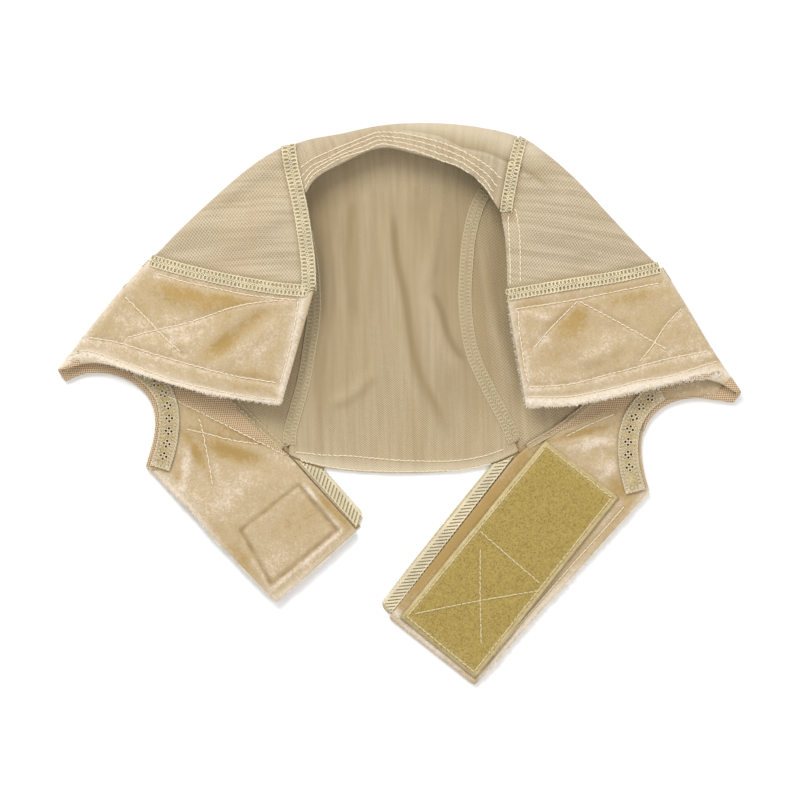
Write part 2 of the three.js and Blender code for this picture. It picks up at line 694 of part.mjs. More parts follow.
const finishes = {
  mesh: new THREE.MeshStandardMaterial({ color: 0xcdb48c, roughness: 0.85, metalness: 0 }),
  velvet: new THREE.MeshStandardMaterial({ color: 0xdcc092, roughness: 0.7, metalness: 0 }),
  elastic: new THREE.MeshStandardMaterial({ color: 0xcbb585, roughness: 0.8, metalness: 0 }),
  edging: new THREE.MeshStandardMaterial({ color: 0xe8d8b4, roughness: 0.8, metalness: 0 }),
  fastener: new THREE.MeshStandardMaterial({ color: 0xb79c55, roughness: 0.95, metalness: 0 }),
};

const cap = new THREE.Group();
function place(name, geometry, finish) {
  const mesh = new THREE.Mesh(geometry, finishes[finish]);
  mesh.name = name;
  cap.add(mesh);
}

place('centre_panel', centrePanel(), 'mesh');
for (const side of ['left', 'right']) {
  place(`side_panel_${side}`, sidePanel(side), 'mesh');
  place(`grip_band_${side}`, gripBand(side), 'velvet');
  place(`ear_lining_${side}`, earLining(side), 'mesh');
  place(`ear_elastic_${side}`, earElastic(side), 'elastic');
  place(`overlocked_edge_${side}`, overlockedEdge(side), 'edging');
}
place('loop_pad', pad('right', loopPadLength, loopPadWidth, loopPadInset, trimBase), 'fastener');
place('hook_pad', pad('left', hookPadLength, hookPadWidth, hookPadInset, 0), 'fastener');

// The origin is the middle of the surface under the whole cap
const box = new THREE.Box3().setFromObject(cap);
const centre = box.getCenter(new THREE.Vector3());
for (const mesh of cap.children) mesh.position.set(-centre.x, -centre.y, -box.min.z);

export default cap;
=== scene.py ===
"""Dresses a packed wig grip cap as it lies flat, front side up: mesh dome, velvet bands, seams and straps.

Plan points are pixels of an 800 by 800 view from above, which plan() turns into metres. X runs across
the cap, Y from the nape straps to the crown, Z up from the surface that it lies on.
"""
import json
import math
import random

import bmesh
import bpy
import numpy as np
from bpy.props import FloatProperty, FloatVectorProperty, IntProperty, PointerProperty
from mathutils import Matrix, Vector, noise
from mathutils.bvhtree import BVHTree

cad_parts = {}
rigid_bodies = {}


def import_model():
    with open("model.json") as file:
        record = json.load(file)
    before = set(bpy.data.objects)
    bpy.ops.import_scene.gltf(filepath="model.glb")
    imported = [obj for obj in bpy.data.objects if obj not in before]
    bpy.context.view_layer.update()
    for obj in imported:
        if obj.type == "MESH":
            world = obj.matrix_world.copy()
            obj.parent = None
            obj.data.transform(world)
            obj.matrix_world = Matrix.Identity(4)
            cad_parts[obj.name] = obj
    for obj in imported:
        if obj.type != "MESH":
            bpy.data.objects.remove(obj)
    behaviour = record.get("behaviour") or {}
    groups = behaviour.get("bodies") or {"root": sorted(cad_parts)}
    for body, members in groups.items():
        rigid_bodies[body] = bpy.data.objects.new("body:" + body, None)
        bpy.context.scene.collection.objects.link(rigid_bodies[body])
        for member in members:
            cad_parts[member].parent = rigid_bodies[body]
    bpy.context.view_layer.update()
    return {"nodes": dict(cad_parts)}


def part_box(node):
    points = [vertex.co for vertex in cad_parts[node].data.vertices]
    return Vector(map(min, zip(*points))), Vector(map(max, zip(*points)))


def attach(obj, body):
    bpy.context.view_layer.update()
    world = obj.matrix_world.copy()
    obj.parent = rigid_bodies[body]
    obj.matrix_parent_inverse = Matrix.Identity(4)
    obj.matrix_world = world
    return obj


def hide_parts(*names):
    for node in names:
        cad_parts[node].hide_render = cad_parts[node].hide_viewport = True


bl_info = {
    "name": "Wig Grip Cap",
    "version": (1, 0, 0),
    "blender": (4, 5, 0),
    "location": "View3D > Sidebar > Wig Cap",
    "description": "Dresses a mesh and velvet wig cap laid flat",
    "category": "Add Mesh",
}

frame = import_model()

MM = 0.001
METRES_PER_PIXEL = 0.00044
PLAN_MIDDLE = (399.5, 404.0)
SIDES = ("left", "right")

# Flatlock seams on the front layer: centre lines, and widths in millimetres
FRONT_SEAMS = {
    "left": {
        "line": [(289, 147), (292, 168), (297, 190), (302, 214), (306, 240), (309, 265), (310, 292)],
        "width": 6.6,
    },
    "right": {
        "line": [(520, 141), (516, 156), (512, 172), (509, 188), (506, 204), (505, 214)],
        "width": 5.6,
    },
}
GRIP_SEAMS = {
    "left": {"line": [(152, 261), (180, 269), (212, 277), (246, 284), (276, 289), (306, 292)], "width": 5.6},
    "right": {"line": [(506, 296), (540, 290), (575, 284), (612, 278), (640, 272), (658, 268)], "width": 5.4},
}
# The same seams seen from the inside, on the back layer
BACK_SEAMS = {
    "left": {
        "line": [
            (306, 232), (312, 268), (314, 300), (313, 322), (309, 350), (304, 380), (297, 406), (291, 428), (289, 445),
        ],
        "width": 6.2,
    },
    "right": {
        "line": [
            (498, 172), (487, 188), (476, 210), (469, 238), (466, 270), (465, 300), (468, 333), (475, 360), (490, 392),
            (505, 420), (515, 442),
        ],
        "width": 6.2,
    },
}
# Where the velvet meets the mesh on the back layer
BAND_SEAMS = {
    "left": {"line": [(196, 346), (215, 379), (249, 415), (283, 448)], "width": 3.4},
    "right": {"line": [(630, 330), (601, 388), (566, 422), (527, 447)], "width": 3.4},
}

# Rows of small stitches by what they are sewn on
HEM_ROWS = {
    "front_edge": [
        (307, 192), (315, 179), (327, 171), (343, 162), (366, 155), (380, 149), (392, 150), (404, 153), (419, 157),
        (440, 165), (457, 171), (469, 179), (482, 190), (492, 205),
    ],
    "front_lower": [
        (303, 188), (312, 174), (326, 165), (345, 156), (364, 149), (379, 143), (394, 144), (413, 148), (440, 157),
        (458, 164), (471, 172), (484, 183), (494, 197),
    ],
    "front_middle": [
        (302, 179), (313, 168), (328, 161), (347, 151), (364, 144), (378, 139), (394, 140), (413, 143), (440, 151),
        (457, 158), (471, 166), (486, 177), (497, 190),
    ],
    "front_upper": [
        (301, 170), (314, 161), (329, 154), (351, 145), (366, 139), (378, 135), (394, 135), (413, 138), (440, 145),
        (457, 152), (473, 160), (488, 170), (501, 182),
    ],
    "side_edge": [(507, 218), (508, 240), (509, 266), (509, 290)],
    "side_lower": [(514, 210), (518, 232), (519, 258), (519, 287)],
    "nape_upper": [(296, 452), (325, 455), (352, 456), (396, 460), (446, 461), (479, 457), (504, 449)],
    "nape_lower": [(300, 460), (338, 468), (380, 471), (429, 471), (479, 468), (514, 458)],
}
PATCH_ROWS = {
    "left": {
        "top": [(159, 274), (185, 282), (222, 290), (250, 296), (279, 299), (298, 301)],
        "bottom": [(74, 336), (116, 342), (155, 354), (193, 365), (231, 375), (260, 380), (279, 383)],
        "inner": [(299, 302), (296, 322), (291, 345), (286, 366), (280, 387)],
        "edge": [(66, 358), (88, 351), (117, 360), (147, 370), (174, 380), (212, 389), (251, 397), (277, 400)],
        "cross_down": [(126, 297), (147, 318), (164, 336), (185, 355)],
        "cross_up": [(128, 338), (155, 331), (193, 322), (231, 309), (260, 303), (285, 301)],
    },
    "right": {
        "top": [(514, 310), (546, 305), (576, 300), (605, 294), (635, 288), (660, 283)],
        "bottom": [(528, 387), (569, 384), (605, 375), (632, 368), (666, 359), (712, 350)],
        "inner": [(517, 311), (518, 330), (521, 350), (524, 370), (529, 387)],
        "edge": [(527, 397), (569, 396), (614, 387), (641, 380), (669, 376), (694, 368), (720, 360)],
        "cross_down": [(578, 302), (614, 321), (641, 336), (668, 351)],
        "cross_up": [(576, 302), (551, 327), (532, 349)],
        "outer_cross": [(684, 305), (664, 326), (651, 346), (637, 363)],
    },
}
STRAP_ROWS = {
    "left": {
        "quilt_down": [(199, 418), (202, 428), (206, 447), (209, 462), (213, 486)],
        "quilt_across": [(187, 429), (209, 434), (227, 439), (245, 442), (262, 444)],
    },
    "right": {
        "upper": [(566, 436), (590, 424), (616, 413)],
        "outer_edge": [(624, 506), (604, 529), (576, 560), (545, 595), (512, 632), (486, 664)],
    },
}
LINING_EDGE = {"left": [(168, 396), (288, 456)], "right": [(556, 432), (644, 399)]}
LINING_ENDS = {"left": [(40, 470), (162, 470), (168, 396), (288, 456)], "right": [(556, 432), (640, 401), (646, 470), (780, 470)]}
# The velvet's lower edge at the side tips, below which only mesh shows
TIP_EDGE = {"left": [(50, 372), (66, 368), (80, 359)], "right": [(640, 392), (669, 383), (698, 376), (724, 370), (750, 366)]}
HOOK_BOX = [(241, 530), (299, 485), (337, 530), (272, 584), (241, 530)]
LOOP_PAD = [(545, 440), (618, 497), (475, 678), (400, 617)]
PAD_ROWS = {
    "border": [(546, 446), (611, 497), (474, 671), (407, 616), (546, 446)],
    "cross_down": [(480, 531), (513, 560), (541, 584)],
    "cross_side": [(480, 549), (480, 600), (481, 645)],
    "cross_up": [(415, 613), (480, 600), (539, 590)],
}

# Folds: lines in plan, rise in millimetres, and how far they spread on each side, left of the line first.
# A tuck drops the cloth on its left by its depth, which then comes back over its run.
MESH_FOLDS = {
    "front": [
        {"line": [(292, 200), (262, 226), (222, 250), (180, 262)], "rise": 1.5, "spread": (6, 8)},
        {"line": [(282, 180), (250, 192), (218, 214)], "rise": -1.1, "spread": (4, 6)},
        {"line": [(300, 262), (262, 262), (220, 262)], "rise": -1.2, "spread": (5, 5)},
        {"line": [(516, 210), (545, 226), (590, 240), (640, 262)], "rise": 1.3, "spread": (7, 7)},
        {"line": [(512, 255), (548, 268), (600, 268)], "rise": -1.1, "spread": (5, 5)},
        {"line": [(518, 240), (560, 246), (600, 236)], "rise": -0.8, "spread": (4, 4)},
        {"line": [(336, 150), (352, 137), (380, 131)], "rise": 1.0, "spread": (2.4, 2.4)},
        {"line": [(318, 166), (330, 150), (345, 140)], "rise": -0.8, "spread": (2.4, 2.4)},
    ],
    "back": [
        {
            "line": [(390, 196), (391, 235), (394, 265), (401, 294), (408, 341), (415, 372), (425, 392), (437, 418), (449, 446)],
            "rise": 1.4, "spread": (2.2, 2.6),
        },
        {"line": [(426, 288), (437, 308), (446, 341), (459, 358), (468, 370)], "rise": 1.3, "spread": (2.4, 2.0)},
        {"line": [(376, 372), (353, 396), (326, 406)], "rise": 0.6, "spread": (3, 3)},
        {"line": [(350, 190), (345, 260), (352, 330)], "rise": 0.9, "spread": (4, 3)},
        {"line": [(440, 200), (436, 250), (430, 290)], "rise": 0.8, "spread": (3, 3)},
        {"line": [(328, 230), (330, 290), (322, 350), (316, 400)], "rise": 0.8, "spread": (2.4, 4)},
        {"line": [(370, 180), (372, 240), (368, 300)], "rise": 0.5, "spread": (2.4, 2.4)},
        {"line": [(414, 180), (412, 230), (416, 270)], "rise": 0.5, "spread": (2.4, 2.4)},
        {"line": [(500, 300), (505, 350), (520, 392)], "rise": 0.8, "spread": (3, 3)},
        {"line": [(488, 240), (492, 300), (500, 350)], "rise": 0.7, "spread": (2.4, 2.4)},
    ],
}
CROWN_TUCK = {
    "line": [
        (392, 133), (412, 135), (440, 140), (462, 151), (485, 156), (505, 165), (519, 172), (532, 179), (543, 188), (562, 202),
    ],
    "depth": 3.4,
    "run": 8,
}
# Pale stretch of the crown behind the tuck, a painted highlight on the top of the dome
CROWN_TOP = [(412, 126), (450, 128), (490, 136), (530, 152)]
BAND_FOLDS = {
    "left": {
        "front": [
            {"line": [(272, 309), (242, 332), (210, 357)], "rise": -1.7, "spread": (3.6, 3.6)},
            {"line": [(268, 330), (244, 350), (222, 366)], "rise": 1.0, "spread": (3.2, 3.2)},
            {"line": [(150, 284), (176, 300), (206, 306)], "rise": 0.9, "spread": (4, 4)},
            {"line": [(196, 340), (168, 348), (140, 346)], "rise": 0.7, "spread": (3, 3)},
            {"line": [(120, 300), (104, 326), (96, 344)], "rise": 0.8, "spread": (3, 3)},
            {"line": [(62, 360), (88, 356), (117, 367), (147, 377), (212, 396), (279, 407)], "rise": 1.2, "spread": (2.2, 1.8)},
        ],
        "back": [
            {"line": [(186, 436), (196, 440), (200, 449), (205, 467)], "rise": -1.1, "spread": (2.2, 2.2)},
            {"line": [(188, 444), (190, 460), (186, 486)], "rise": 1.1, "spread": (2.0, 2.4)},
            {"line": [(176, 480), (200, 500), (222, 530)], "rise": 0.9, "spread": (3, 3)},
            {"line": [(214, 416), (236, 424), (262, 440)], "rise": 0.8, "spread": (3, 3)},
            {"line": [(226, 470), (250, 486), (262, 500)], "rise": 0.7, "spread": (4, 3)},
            {"line": [(210, 446), (236, 458), (268, 462)], "rise": -0.7, "spread": (2.6, 2.6)},
            {"line": [(252, 590), (276, 604), (300, 588)], "rise": 0.5, "spread": (2, 2)},
            {"line": [(303, 482), (322, 505), (342, 530)], "rise": 0.9, "spread": (1.6, 1.6)},
        ],
    },
    "right": {
        "front": [
            {"line": [(545, 330), (575, 352), (600, 360)], "rise": 0.9, "spread": (4, 4)},
            {"line": [(560, 312), (590, 326), (620, 330)], "rise": -0.9, "spread": (4, 4)},
            {"line": [(530, 314), (544, 320), (560, 316)], "rise": 0.8, "spread": (2, 2)},
            {"line": [(650, 290), (690, 318), (716, 350)], "rise": 0.8, "spread": (4, 3)},
            {"line": [(620, 340), (600, 356), (570, 366)], "rise": 0.7, "spread": (3, 3)},
            {"line": [(522, 406), (569, 405), (614, 396), (641, 389), (694, 377), (730, 374)], "rise": 1.2, "spread": (1.8, 2.2)},
        ],
        "back": [
            {"line": [(560, 436), (590, 422), (622, 410)], "rise": 1.0, "spread": (2.4, 2.4)},
            {"line": [(568, 448), (592, 440), (614, 450)], "rise": 1.1, "spread": (2.2, 2.2)},
            {"line": [(592, 470), (606, 466), (616, 478)], "rise": 0.9, "spread": (2.4, 2.4)},
            {"line": [(628, 500), (612, 520), (596, 540)], "rise": 0.6, "spread": (3, 3)},
        ],
    },
}

# Tones of the velvet's pile, whose pale patches are painted sheen highlights and whose golden patches are partly the
# pile's own tone and partly painted shade: middle, half length, half width, turn in degrees, and how pale (+) or golden
# (-)
TONES = {
    "left": [
        (172, 290, 24, 10, -8, -0.55), (208, 302, 32, 12, -8, -0.65), (244, 300, 24, 6, -3, -0.35), (148, 308, 18, 9, 0, -0.3),
        (222, 345, 15, 11, 30, -0.45), (241, 334, 38, 8, 36, -0.6), (255, 376, 22, 4, -10, -0.4), (262, 391, 26, 4, -8, -0.4),
        (256, 352, 30, 7, 32, 0.4), (130, 324, 22, 9, -20, 0.2), (100, 345, 26, 5, -15, 0.3), (190, 340, 24, 6, -12, 0.15),
        (197, 453, 20, 5, -58, -0.85), (238, 456, 34, 8, -18, -0.6), (234, 427, 28, 6, -30, -0.5), (330, 507, 34, 4, -46, -0.7),
        (246, 562, 32, 6, -48, -0.5), (300, 520, 26, 16, 42, -0.25), (187, 466, 18, 5, 82, 0.75), (190, 498, 24, 9, -42, 0.4),
        (232, 492, 30, 11, 45, 0.35), (214, 470, 14, 5, -50, 0.35), (272, 562, 20, 12, 40, 0.3), (312, 493, 14, 3, -48, 0.55),
        (178, 476, 5, 5, 0, -0.5), (220, 440, 30, 12, -28, -0.45), (290, 595, 16, 4, 38, 0.35), (212, 404, 30, 10, -10, -0.5),
    ],
    "right": [
        (535, 306, 16, 5, 5, -0.5), (570, 322, 22, 14, 35, -0.6), (630, 296, 32, 9, 10, -0.45), (560, 354, 22, 8, 20, -0.25),
        (655, 318, 20, 10, -30, -0.15), (543, 319, 13, 4, -10, 0.5), (604, 346, 30, 8, 20, 0.2), (546, 340, 12, 5, -30, 0.3),
        (692, 330, 20, 10, -45, 0.15), (592, 444, 20, 5, 12, 0.85), (606, 470, 10, 7, 40, 0.75), (580, 433, 28, 3.5, 14, -0.7),
        (618, 488, 14, 7, -50, -0.7), (463, 530, 120, 7, 50, -1.0), (614, 524, 30, 4, 52, -0.55), (600, 410, 36, 9, 14, -0.4),
        (632, 470, 6, 30, 0, -0.3), (437, 651, 52, 4, -38, 0.5),
    ],
}
# Velvet edges whose pile stands up pale: lines, spread in millimetres and strength
PALE_EDGES = {
    "left": [
        ([(59, 364), (88, 354), (117, 365), (147, 375), (212, 394), (279, 404)], 3.0, 0.95),
        ([(279, 404), (288, 366), (300, 312), (306, 296)], 2.2, 0.7),
        ([(150, 262), (120, 290), (92, 322), (60, 364)], 2.6, 0.55),
        ([(148, 466), (194, 513), (240, 572), (276, 600)], 2.0, 0.75),
        ([(276, 600), (320, 566), (358, 533)], 2.2, 0.6),
    ],
    "right": [
        ([(523, 402), (569, 402), (614, 392), (669, 381), (730, 372)], 3.2, 0.95),
        ([(524, 402), (512, 352), (506, 300)], 2.0, 0.7),
        ([(660, 268), (700, 318), (738, 372)], 2.0, 0.4),
        ([(650, 492), (600, 552), (545, 604), (484, 676)], 2.2, 0.8),
        ([(484, 676), (440, 648), (392, 610)], 2.2, 0.8),
    ],
}


class CapSizes(bpy.types.PropertyGroup):
    """Sizes of the cloth's finish and of what is sewn on it"""

    mesh_pitch: FloatProperty(name="Mesh pitch", description="Spacing of the net's holes across", default=1.2 * MM, unit="LENGTH")
    lining_pitch: FloatProperty(name="Lining pitch", description="Spacing of the lining's holes", default=1.3 * MM, unit="LENGTH")
    stitch_length: FloatProperty(name="Stitch length", description="Length of one stitch", default=1.9 * MM, unit="LENGTH")
    stitch_space: FloatProperty(name="Stitch space", description="Gap between two stitches", default=0.4 * MM, unit="LENGTH")
    stitch_radius: FloatProperty(name="Stitch thread", description="Radius of the sewing thread", default=0.29 * MM, unit="LENGTH")
    seam_radius: FloatProperty(name="Seam thread", description="Radius of the flatlock thread", default=0.25 * MM, unit="LENGTH")
    lace_pitch: FloatProperty(name="Lace pitch", description="Spacing of the flatlock's loops", default=1.7 * MM, unit="LENGTH")
    overlock_pitch: FloatProperty(name="Overlock pitch", description="Spacing of the overlock's threads", default=1.95 * MM, unit="LENGTH")
    wrinkle: FloatProperty(name="Wrinkle", description="Height of the velvet's small wrinkles", default=0.3 * MM, unit="LENGTH")
    fibre: FloatProperty(name="Fibre", description="Length of the frayed fibres at cut edges", default=1.5 * MM, unit="LENGTH")
    smoothing: IntProperty(name="Smoothing", description="Subdivision steps of the velvet bands", default=3, min=1, max=4)


class CapColours(bpy.types.PropertyGroup):
    """Colours of the cloth and the thread"""

    mesh: FloatVectorProperty(name="Mesh", description="Yarn of the stretch mesh", subtype="COLOR", default=(0.575, 0.475, 0.335))
    mesh_hole: FloatVectorProperty(name="Mesh holes", description="What shows through the mesh", subtype="COLOR", default=(0.33, 0.255, 0.155))
    velvet: FloatVectorProperty(name="Velvet", description="Velvet pile seen from above", subtype="COLOR", default=(0.455, 0.348, 0.208))
    # Velvet pale paints sheen highlights and Velvet gold paints shade, besides the pile's own tones
    velvet_pale: FloatVectorProperty(name="Velvet pale", description="Velvet pile that leans away", subtype="COLOR", default=(0.69, 0.585, 0.47))
    velvet_gold: FloatVectorProperty(name="Velvet gold", description="Velvet pile that leans in", subtype="COLOR", default=(0.37, 0.245, 0.09))
    velvet_edge: FloatVectorProperty(name="Velvet edge", description="Pile that stands up at an edge", subtype="COLOR", default=(0.72, 0.635, 0.53))
    thread: FloatVectorProperty(name="Thread", description="Sewing thread", subtype="COLOR", default=(0.69, 0.6, 0.39))
    pad: FloatVectorProperty(name="Pad", description="Loops of the fastening pad", subtype="COLOR", default=(0.36, 0.26, 0.077))
    elastic: FloatVectorProperty(name="Elastic", description="Knitted elastic", subtype="COLOR", default=(0.49, 0.385, 0.195))
    lining: FloatVectorProperty(name="Lining", description="Mesh lining above the ears", subtype="COLOR", default=(0.525, 0.37, 0.215))
    fluff: FloatVectorProperty(name="Fluff", description="Frayed fibres", subtype="COLOR", default=(0.82, 0.75, 0.63))
    floor: FloatVectorProperty(name="Floor", description="Surface under the cap", subtype="COLOR", default=(0.9, 0.9, 0.9))


def sizes():
    return bpy.context.scene.cap_sizes


def colours():
    return bpy.context.scene.cap_colours


# Plan paths

def plan(pixels):
    """Plan points in metres from pixels of the view from above."""
    return np.array([((x - PLAN_MIDDLE[0]) * METRES_PER_PIXEL, (PLAN_MIDDLE[1] - y) * METRES_PER_PIXEL) for x, y in pixels])


def smooth_path(points, step):
    """Even points along a Catmull-Rom curve through plan points."""
    ends = np.vstack([2 * points[0] - points[1], points, 2 * points[-1] - points[-2]])
    dense = []
    for i in range(1, len(ends) - 2):
        p0, p1, p2, p3 = ends[i - 1:i + 3]
        for t in np.linspace(0, 1, 16, endpoint=False):
            dense.append(0.5 * (2 * p1 + (p2 - p0) * t + (2 * p0 - 5 * p1 + 4 * p2 - p3) * t**2 + (3 * p1 - p0 - 3 * p2 + p3) * t**3))
    dense = np.array(dense + [points[-1]])
    return spaced(dense, step)


def straight_path(points, step):
    """Even points along straight stretches, whose corners stay sharp."""
    out = []
    for a, b in zip(points[:-1], points[1:]):
        count = max(1, round(float(np.linalg.norm(b - a)) / step))
        out += [a + (b - a) * i / count for i in range(count)]
    return np.array(out + [points[-1]])


def spaced(points, step):
    reach = np.concatenate([[0], np.cumsum(np.linalg.norm(np.diff(points, axis=0), axis=1))])
    count = max(2, round(reach[-1] / step) + 1)
    at = np.linspace(0, reach[-1], count)
    return np.stack([np.interp(at, reach, points[:, k]) for k in range(points.shape[1])], axis=1)


def across(points):
    """Unit directions square to a plan path, on its left."""
    along = np.gradient(points, axis=0)
    along /= np.maximum(np.linalg.norm(along, axis=1, keepdims=True), 1e-12)
    return np.stack([-along[:, 1], along[:, 0]], axis=1)


def to_line(places, line):
    """Signed distance of each place to a plan polyline, left of it positive, and the share along it."""
    best = np.full(len(places), np.inf)
    signed = np.zeros(len(places))
    share = np.zeros(len(places))
    for i, (a, b) in enumerate(zip(line[:-1], line[1:])):
        way = b - a
        rel = places - a
        t = np.clip((rel @ way) / (way @ way), 0, 1)
        off = rel - t[:, None] * way
        distance = np.linalg.norm(off, axis=1)
        closer = distance < best
        best[closer] = distance[closer]
        turn = np.where(way[0] * rel[:, 1] - way[1] * rel[:, 0] >= 0, 1.0, -1.0)
        signed[closer] = (turn * distance)[closer]
        share[closer] = ((i + t) / (len(line) - 1))[closer]
    return signed, share


def ease(value, low, high):
    t = np.clip((value - low) / (high - low), 0, 1)
    return t * t * (3 - 2 * t)


# Surfaces that the sewing lies on

class Drop:
    """Finds the cloth under a plan point, from a starting height down."""

    def __init__(self, pieces):
        bm = bmesh.new()
        for piece in pieces:
            bm.from_mesh(piece.data)
        self.tree = BVHTree.FromBMesh(bm)
        bm.free()

    def at(self, point, start=0.05):
        hit, normal, _, _ = self.tree.ray_cast(Vector((point[0], point[1], start)), Vector((0, 0, -1)))
        if hit is None:
            hit, normal, _, _ = self.tree.find_nearest(Vector((point[0], point[1], min(start, 0.004))))
        if normal.z < 0:
            normal = -normal
        return hit, normal

    def over(self, point, start=0.05, reach=1.0 * MM):
        """The same, but carried level over a gap or rim no wider than the reach."""
        best, normal = self.at(point, start)
        for dx, dy in ((reach, 0), (-reach, 0), (0, reach), (0, -reach)):
            hit, other = self.at((point[0] + dx, point[1] + dy), start)
            if hit.z > best.z + 0.5 * MM and (hit.xy - Vector(point[:2])).length < 1.6 * reach:
                best, normal = Vector((point[0], point[1], hit.z)), other
        return best, normal


# Cloth from the frame's solids

def link(name, mesh, material):
    piece = bpy.data.objects.new(name, mesh)
    bpy.context.scene.collection.objects.link(piece)
    mesh.materials.clear()
    mesh.materials.append(material)
    return piece


def hand_in(piece, nodes=()):
    """Puts a finished piece on the cap, smooth-shaded, and hides the solids that it stands for."""
    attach(piece, "root")
    if nodes:
        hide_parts(*nodes)
    for polygon in piece.data.polygons:
        polygon.use_smooth = True
    return piece


def cage_of(node, edge_crease):
    """A merged copy of a solid's mesh in four-sided faces, its rims creased and marked as seams."""
    bm = bmesh.new()
    bm.from_mesh(frame["nodes"][node].data)
    bmesh.ops.remove_doubles(bm, verts=bm.verts, dist=0.01 * MM)
    bmesh.ops.join_triangles(
        bm, faces=bm.faces, angle_face_threshold=math.radians(35), angle_shape_threshold=math.radians(50)
    )
    crease = bm.edges.layers.float.new("crease_edge")
    for edge in bm.edges:
        if edge.is_manifold and edge.calc_face_angle(0) > math.radians(55):
            edge.seam = True
            edge[crease] = edge_crease
    return bm


def unwrap_metric(piece):
    """Unwraps each face of the wall, then turns and scales its map to metres, in line with X and Y."""
    bpy.context.view_layer.objects.active = piece
    piece.select_set(True)
    bpy.ops.object.mode_set(mode="EDIT")
    bpy.ops.mesh.select_all(action="SELECT")
    bpy.ops.uv.unwrap(method="ANGLE_BASED", margin=0.01)
    bpy.ops.object.mode_set(mode="OBJECT")
    piece.select_set(False)
    bm = bmesh.new()
    bm.from_mesh(piece.data)
    uv = bm.loops.layers.uv.active
    waiting = set(bm.faces)
    while waiting:
        island, front = [], [waiting.pop()]
        while front:
            face = front.pop()
            island.append(face)
            for edge in face.edges:
                if edge.seam:
                    continue
                for other in edge.link_faces:
                    if other in waiting:
                        waiting.discard(other)
                        front.append(other)
        flat = [loop for face in island if abs(face.normal.z) > 0.9 for loop in face.loops] or island[0].loops
        maps = np.array([[loop[uv].uv.x, loop[uv].uv.y, 1] for loop in flat])
        places = np.array([[loop.vert.co.x, loop.vert.co.y] for loop in flat])
        fit = np.linalg.lstsq(maps, places, rcond=None)[0]
        turn, stretch, back = np.linalg.svd(fit[:2])
        even = turn @ np.diag([stretch.mean()] * 2) @ back
        for face in island:
            for loop in face.loops:
                loop[uv].uv = Vector(np.array(loop[uv].uv) @ even + fit[2])
    bm.to_mesh(piece.data)
    bm.free()


def refined(piece, levels):
    """The piece's mesh after smooth subdivision, with nothing left live on it."""
    modifier = piece.modifiers.new("Smooth", "SUBSURF")
    modifier.levels = modifier.render_levels = levels
    modifier.boundary_smooth = "PRESERVE_CORNERS"
    graph = bpy.context.evaluated_depsgraph_get()
    mesh = bpy.data.meshes.new_from_object(piece.evaluated_get(graph))
    piece.modifiers.clear()
    old = piece.data
    piece.data = mesh
    bpy.data.meshes.remove(old)
    return piece


def coordinates(mesh):
    co = np.empty(len(mesh.vertices) * 3)
    mesh.vertices.foreach_get("co", co)
    return co.reshape(-1, 3)


def normals(mesh):
    out = np.empty(len(mesh.vertices) * 3)
    mesh.vertices.foreach_get("normal", out)
    return out.reshape(-1, 3)


def put_back(mesh, co):
    mesh.vertices.foreach_set("co", co.reshape(-1))
    mesh.update()


def store(mesh, name, values):
    layer = mesh.attributes.new(name, "FLOAT", "POINT")
    layer.data.foreach_set("value", np.ascontiguousarray(values, dtype=np.float32))


def field(co, wavelength, seed, stretch=(1, 1), depth=1):
    """Smooth random values from -1 to 1 over plan, one per point."""
    out = np.zeros(len(co))
    for octave in range(depth):
        scale = 2**octave / wavelength
        out += np.array([
            noise.noise(Vector((x * scale / stretch[0], y * scale / stretch[1], seed + octave * 7.1 + z * 40))) for x, y, z in co
        ]) / 2**octave
    return out


def folds(places, table):
    """Height that a table of folds adds at each plan place."""
    rise = np.zeros(len(places))
    for fold in table:
        line = smooth_path(plan(fold["line"]), 6 * MM)
        signed, share = to_line(places, line)
        spread = np.where(signed > 0, fold["spread"][0], fold["spread"][1]) * MM
        fade = np.sqrt(np.clip(np.sin(np.pi * np.clip(share, 0.02, 0.98)) * 1.6, 0, 1))
        rise += fold["rise"] * MM * fade * np.exp(-((signed / spread) ** 2))
    return rise


def dents(places, rows, depth, spread):
    """Groove that rows of stitches pull into padded cloth."""
    return -depth * near_rows(places, rows, spread)


def tuck(places, table):
    """Drop of the cloth behind a tuck, and how dark its shadow is."""
    signed, share = to_line(places, smooth_path(plan(table["line"]), 2 * MM))
    inside = (share > 0.005) & (share < 0.995)
    fade = ease(share, 0.0, 0.12) * (1 - ease(share, 0.75, 1.0)) * inside
    behind = ease(signed, -0.2 * MM, 1.0 * MM)
    drop = -table["depth"] * MM * fade * behind * np.exp(-np.clip(signed, 0, None) / (table["run"] * MM))
    lip = 0.9 * MM * fade * np.exp(-(((signed + 0.9 * MM) / (1.3 * MM)) ** 2))
    dark = fade * behind * (0.3 + 1.1 * np.exp(-np.clip(signed, 0, None) / (2.2 * MM)))
    return drop + lip, dark


def tones(places, table):
    """Sum of soft oval patches of pile, pale above zero and golden below."""
    out = np.zeros(len(places))
    for x, y, long, short, turn, strength in table:
        middle = plan([(x, y)])[0]
        cos, sin = math.cos(math.radians(turn)), math.sin(math.radians(turn))
        rel = (places - middle) / METRES_PER_PIXEL
        along = (rel[:, 0] * cos + rel[:, 1] * sin) / long
        over = (-rel[:, 0] * sin + rel[:, 1] * cos) / short
        out += strength * np.exp(-(along**2 + over**2) ** 1.3 * 0.8)
    return out


def near_rows(places, rows, spread):
    """How near each place is to rows of stitches, from 0 to 1."""
    out = np.zeros(len(places))
    for row in rows:
        signed, _ = to_line(places, smooth_path(plan(row), 4 * MM))
        out = np.maximum(out, np.exp(-((signed / spread) ** 2)))
    return out


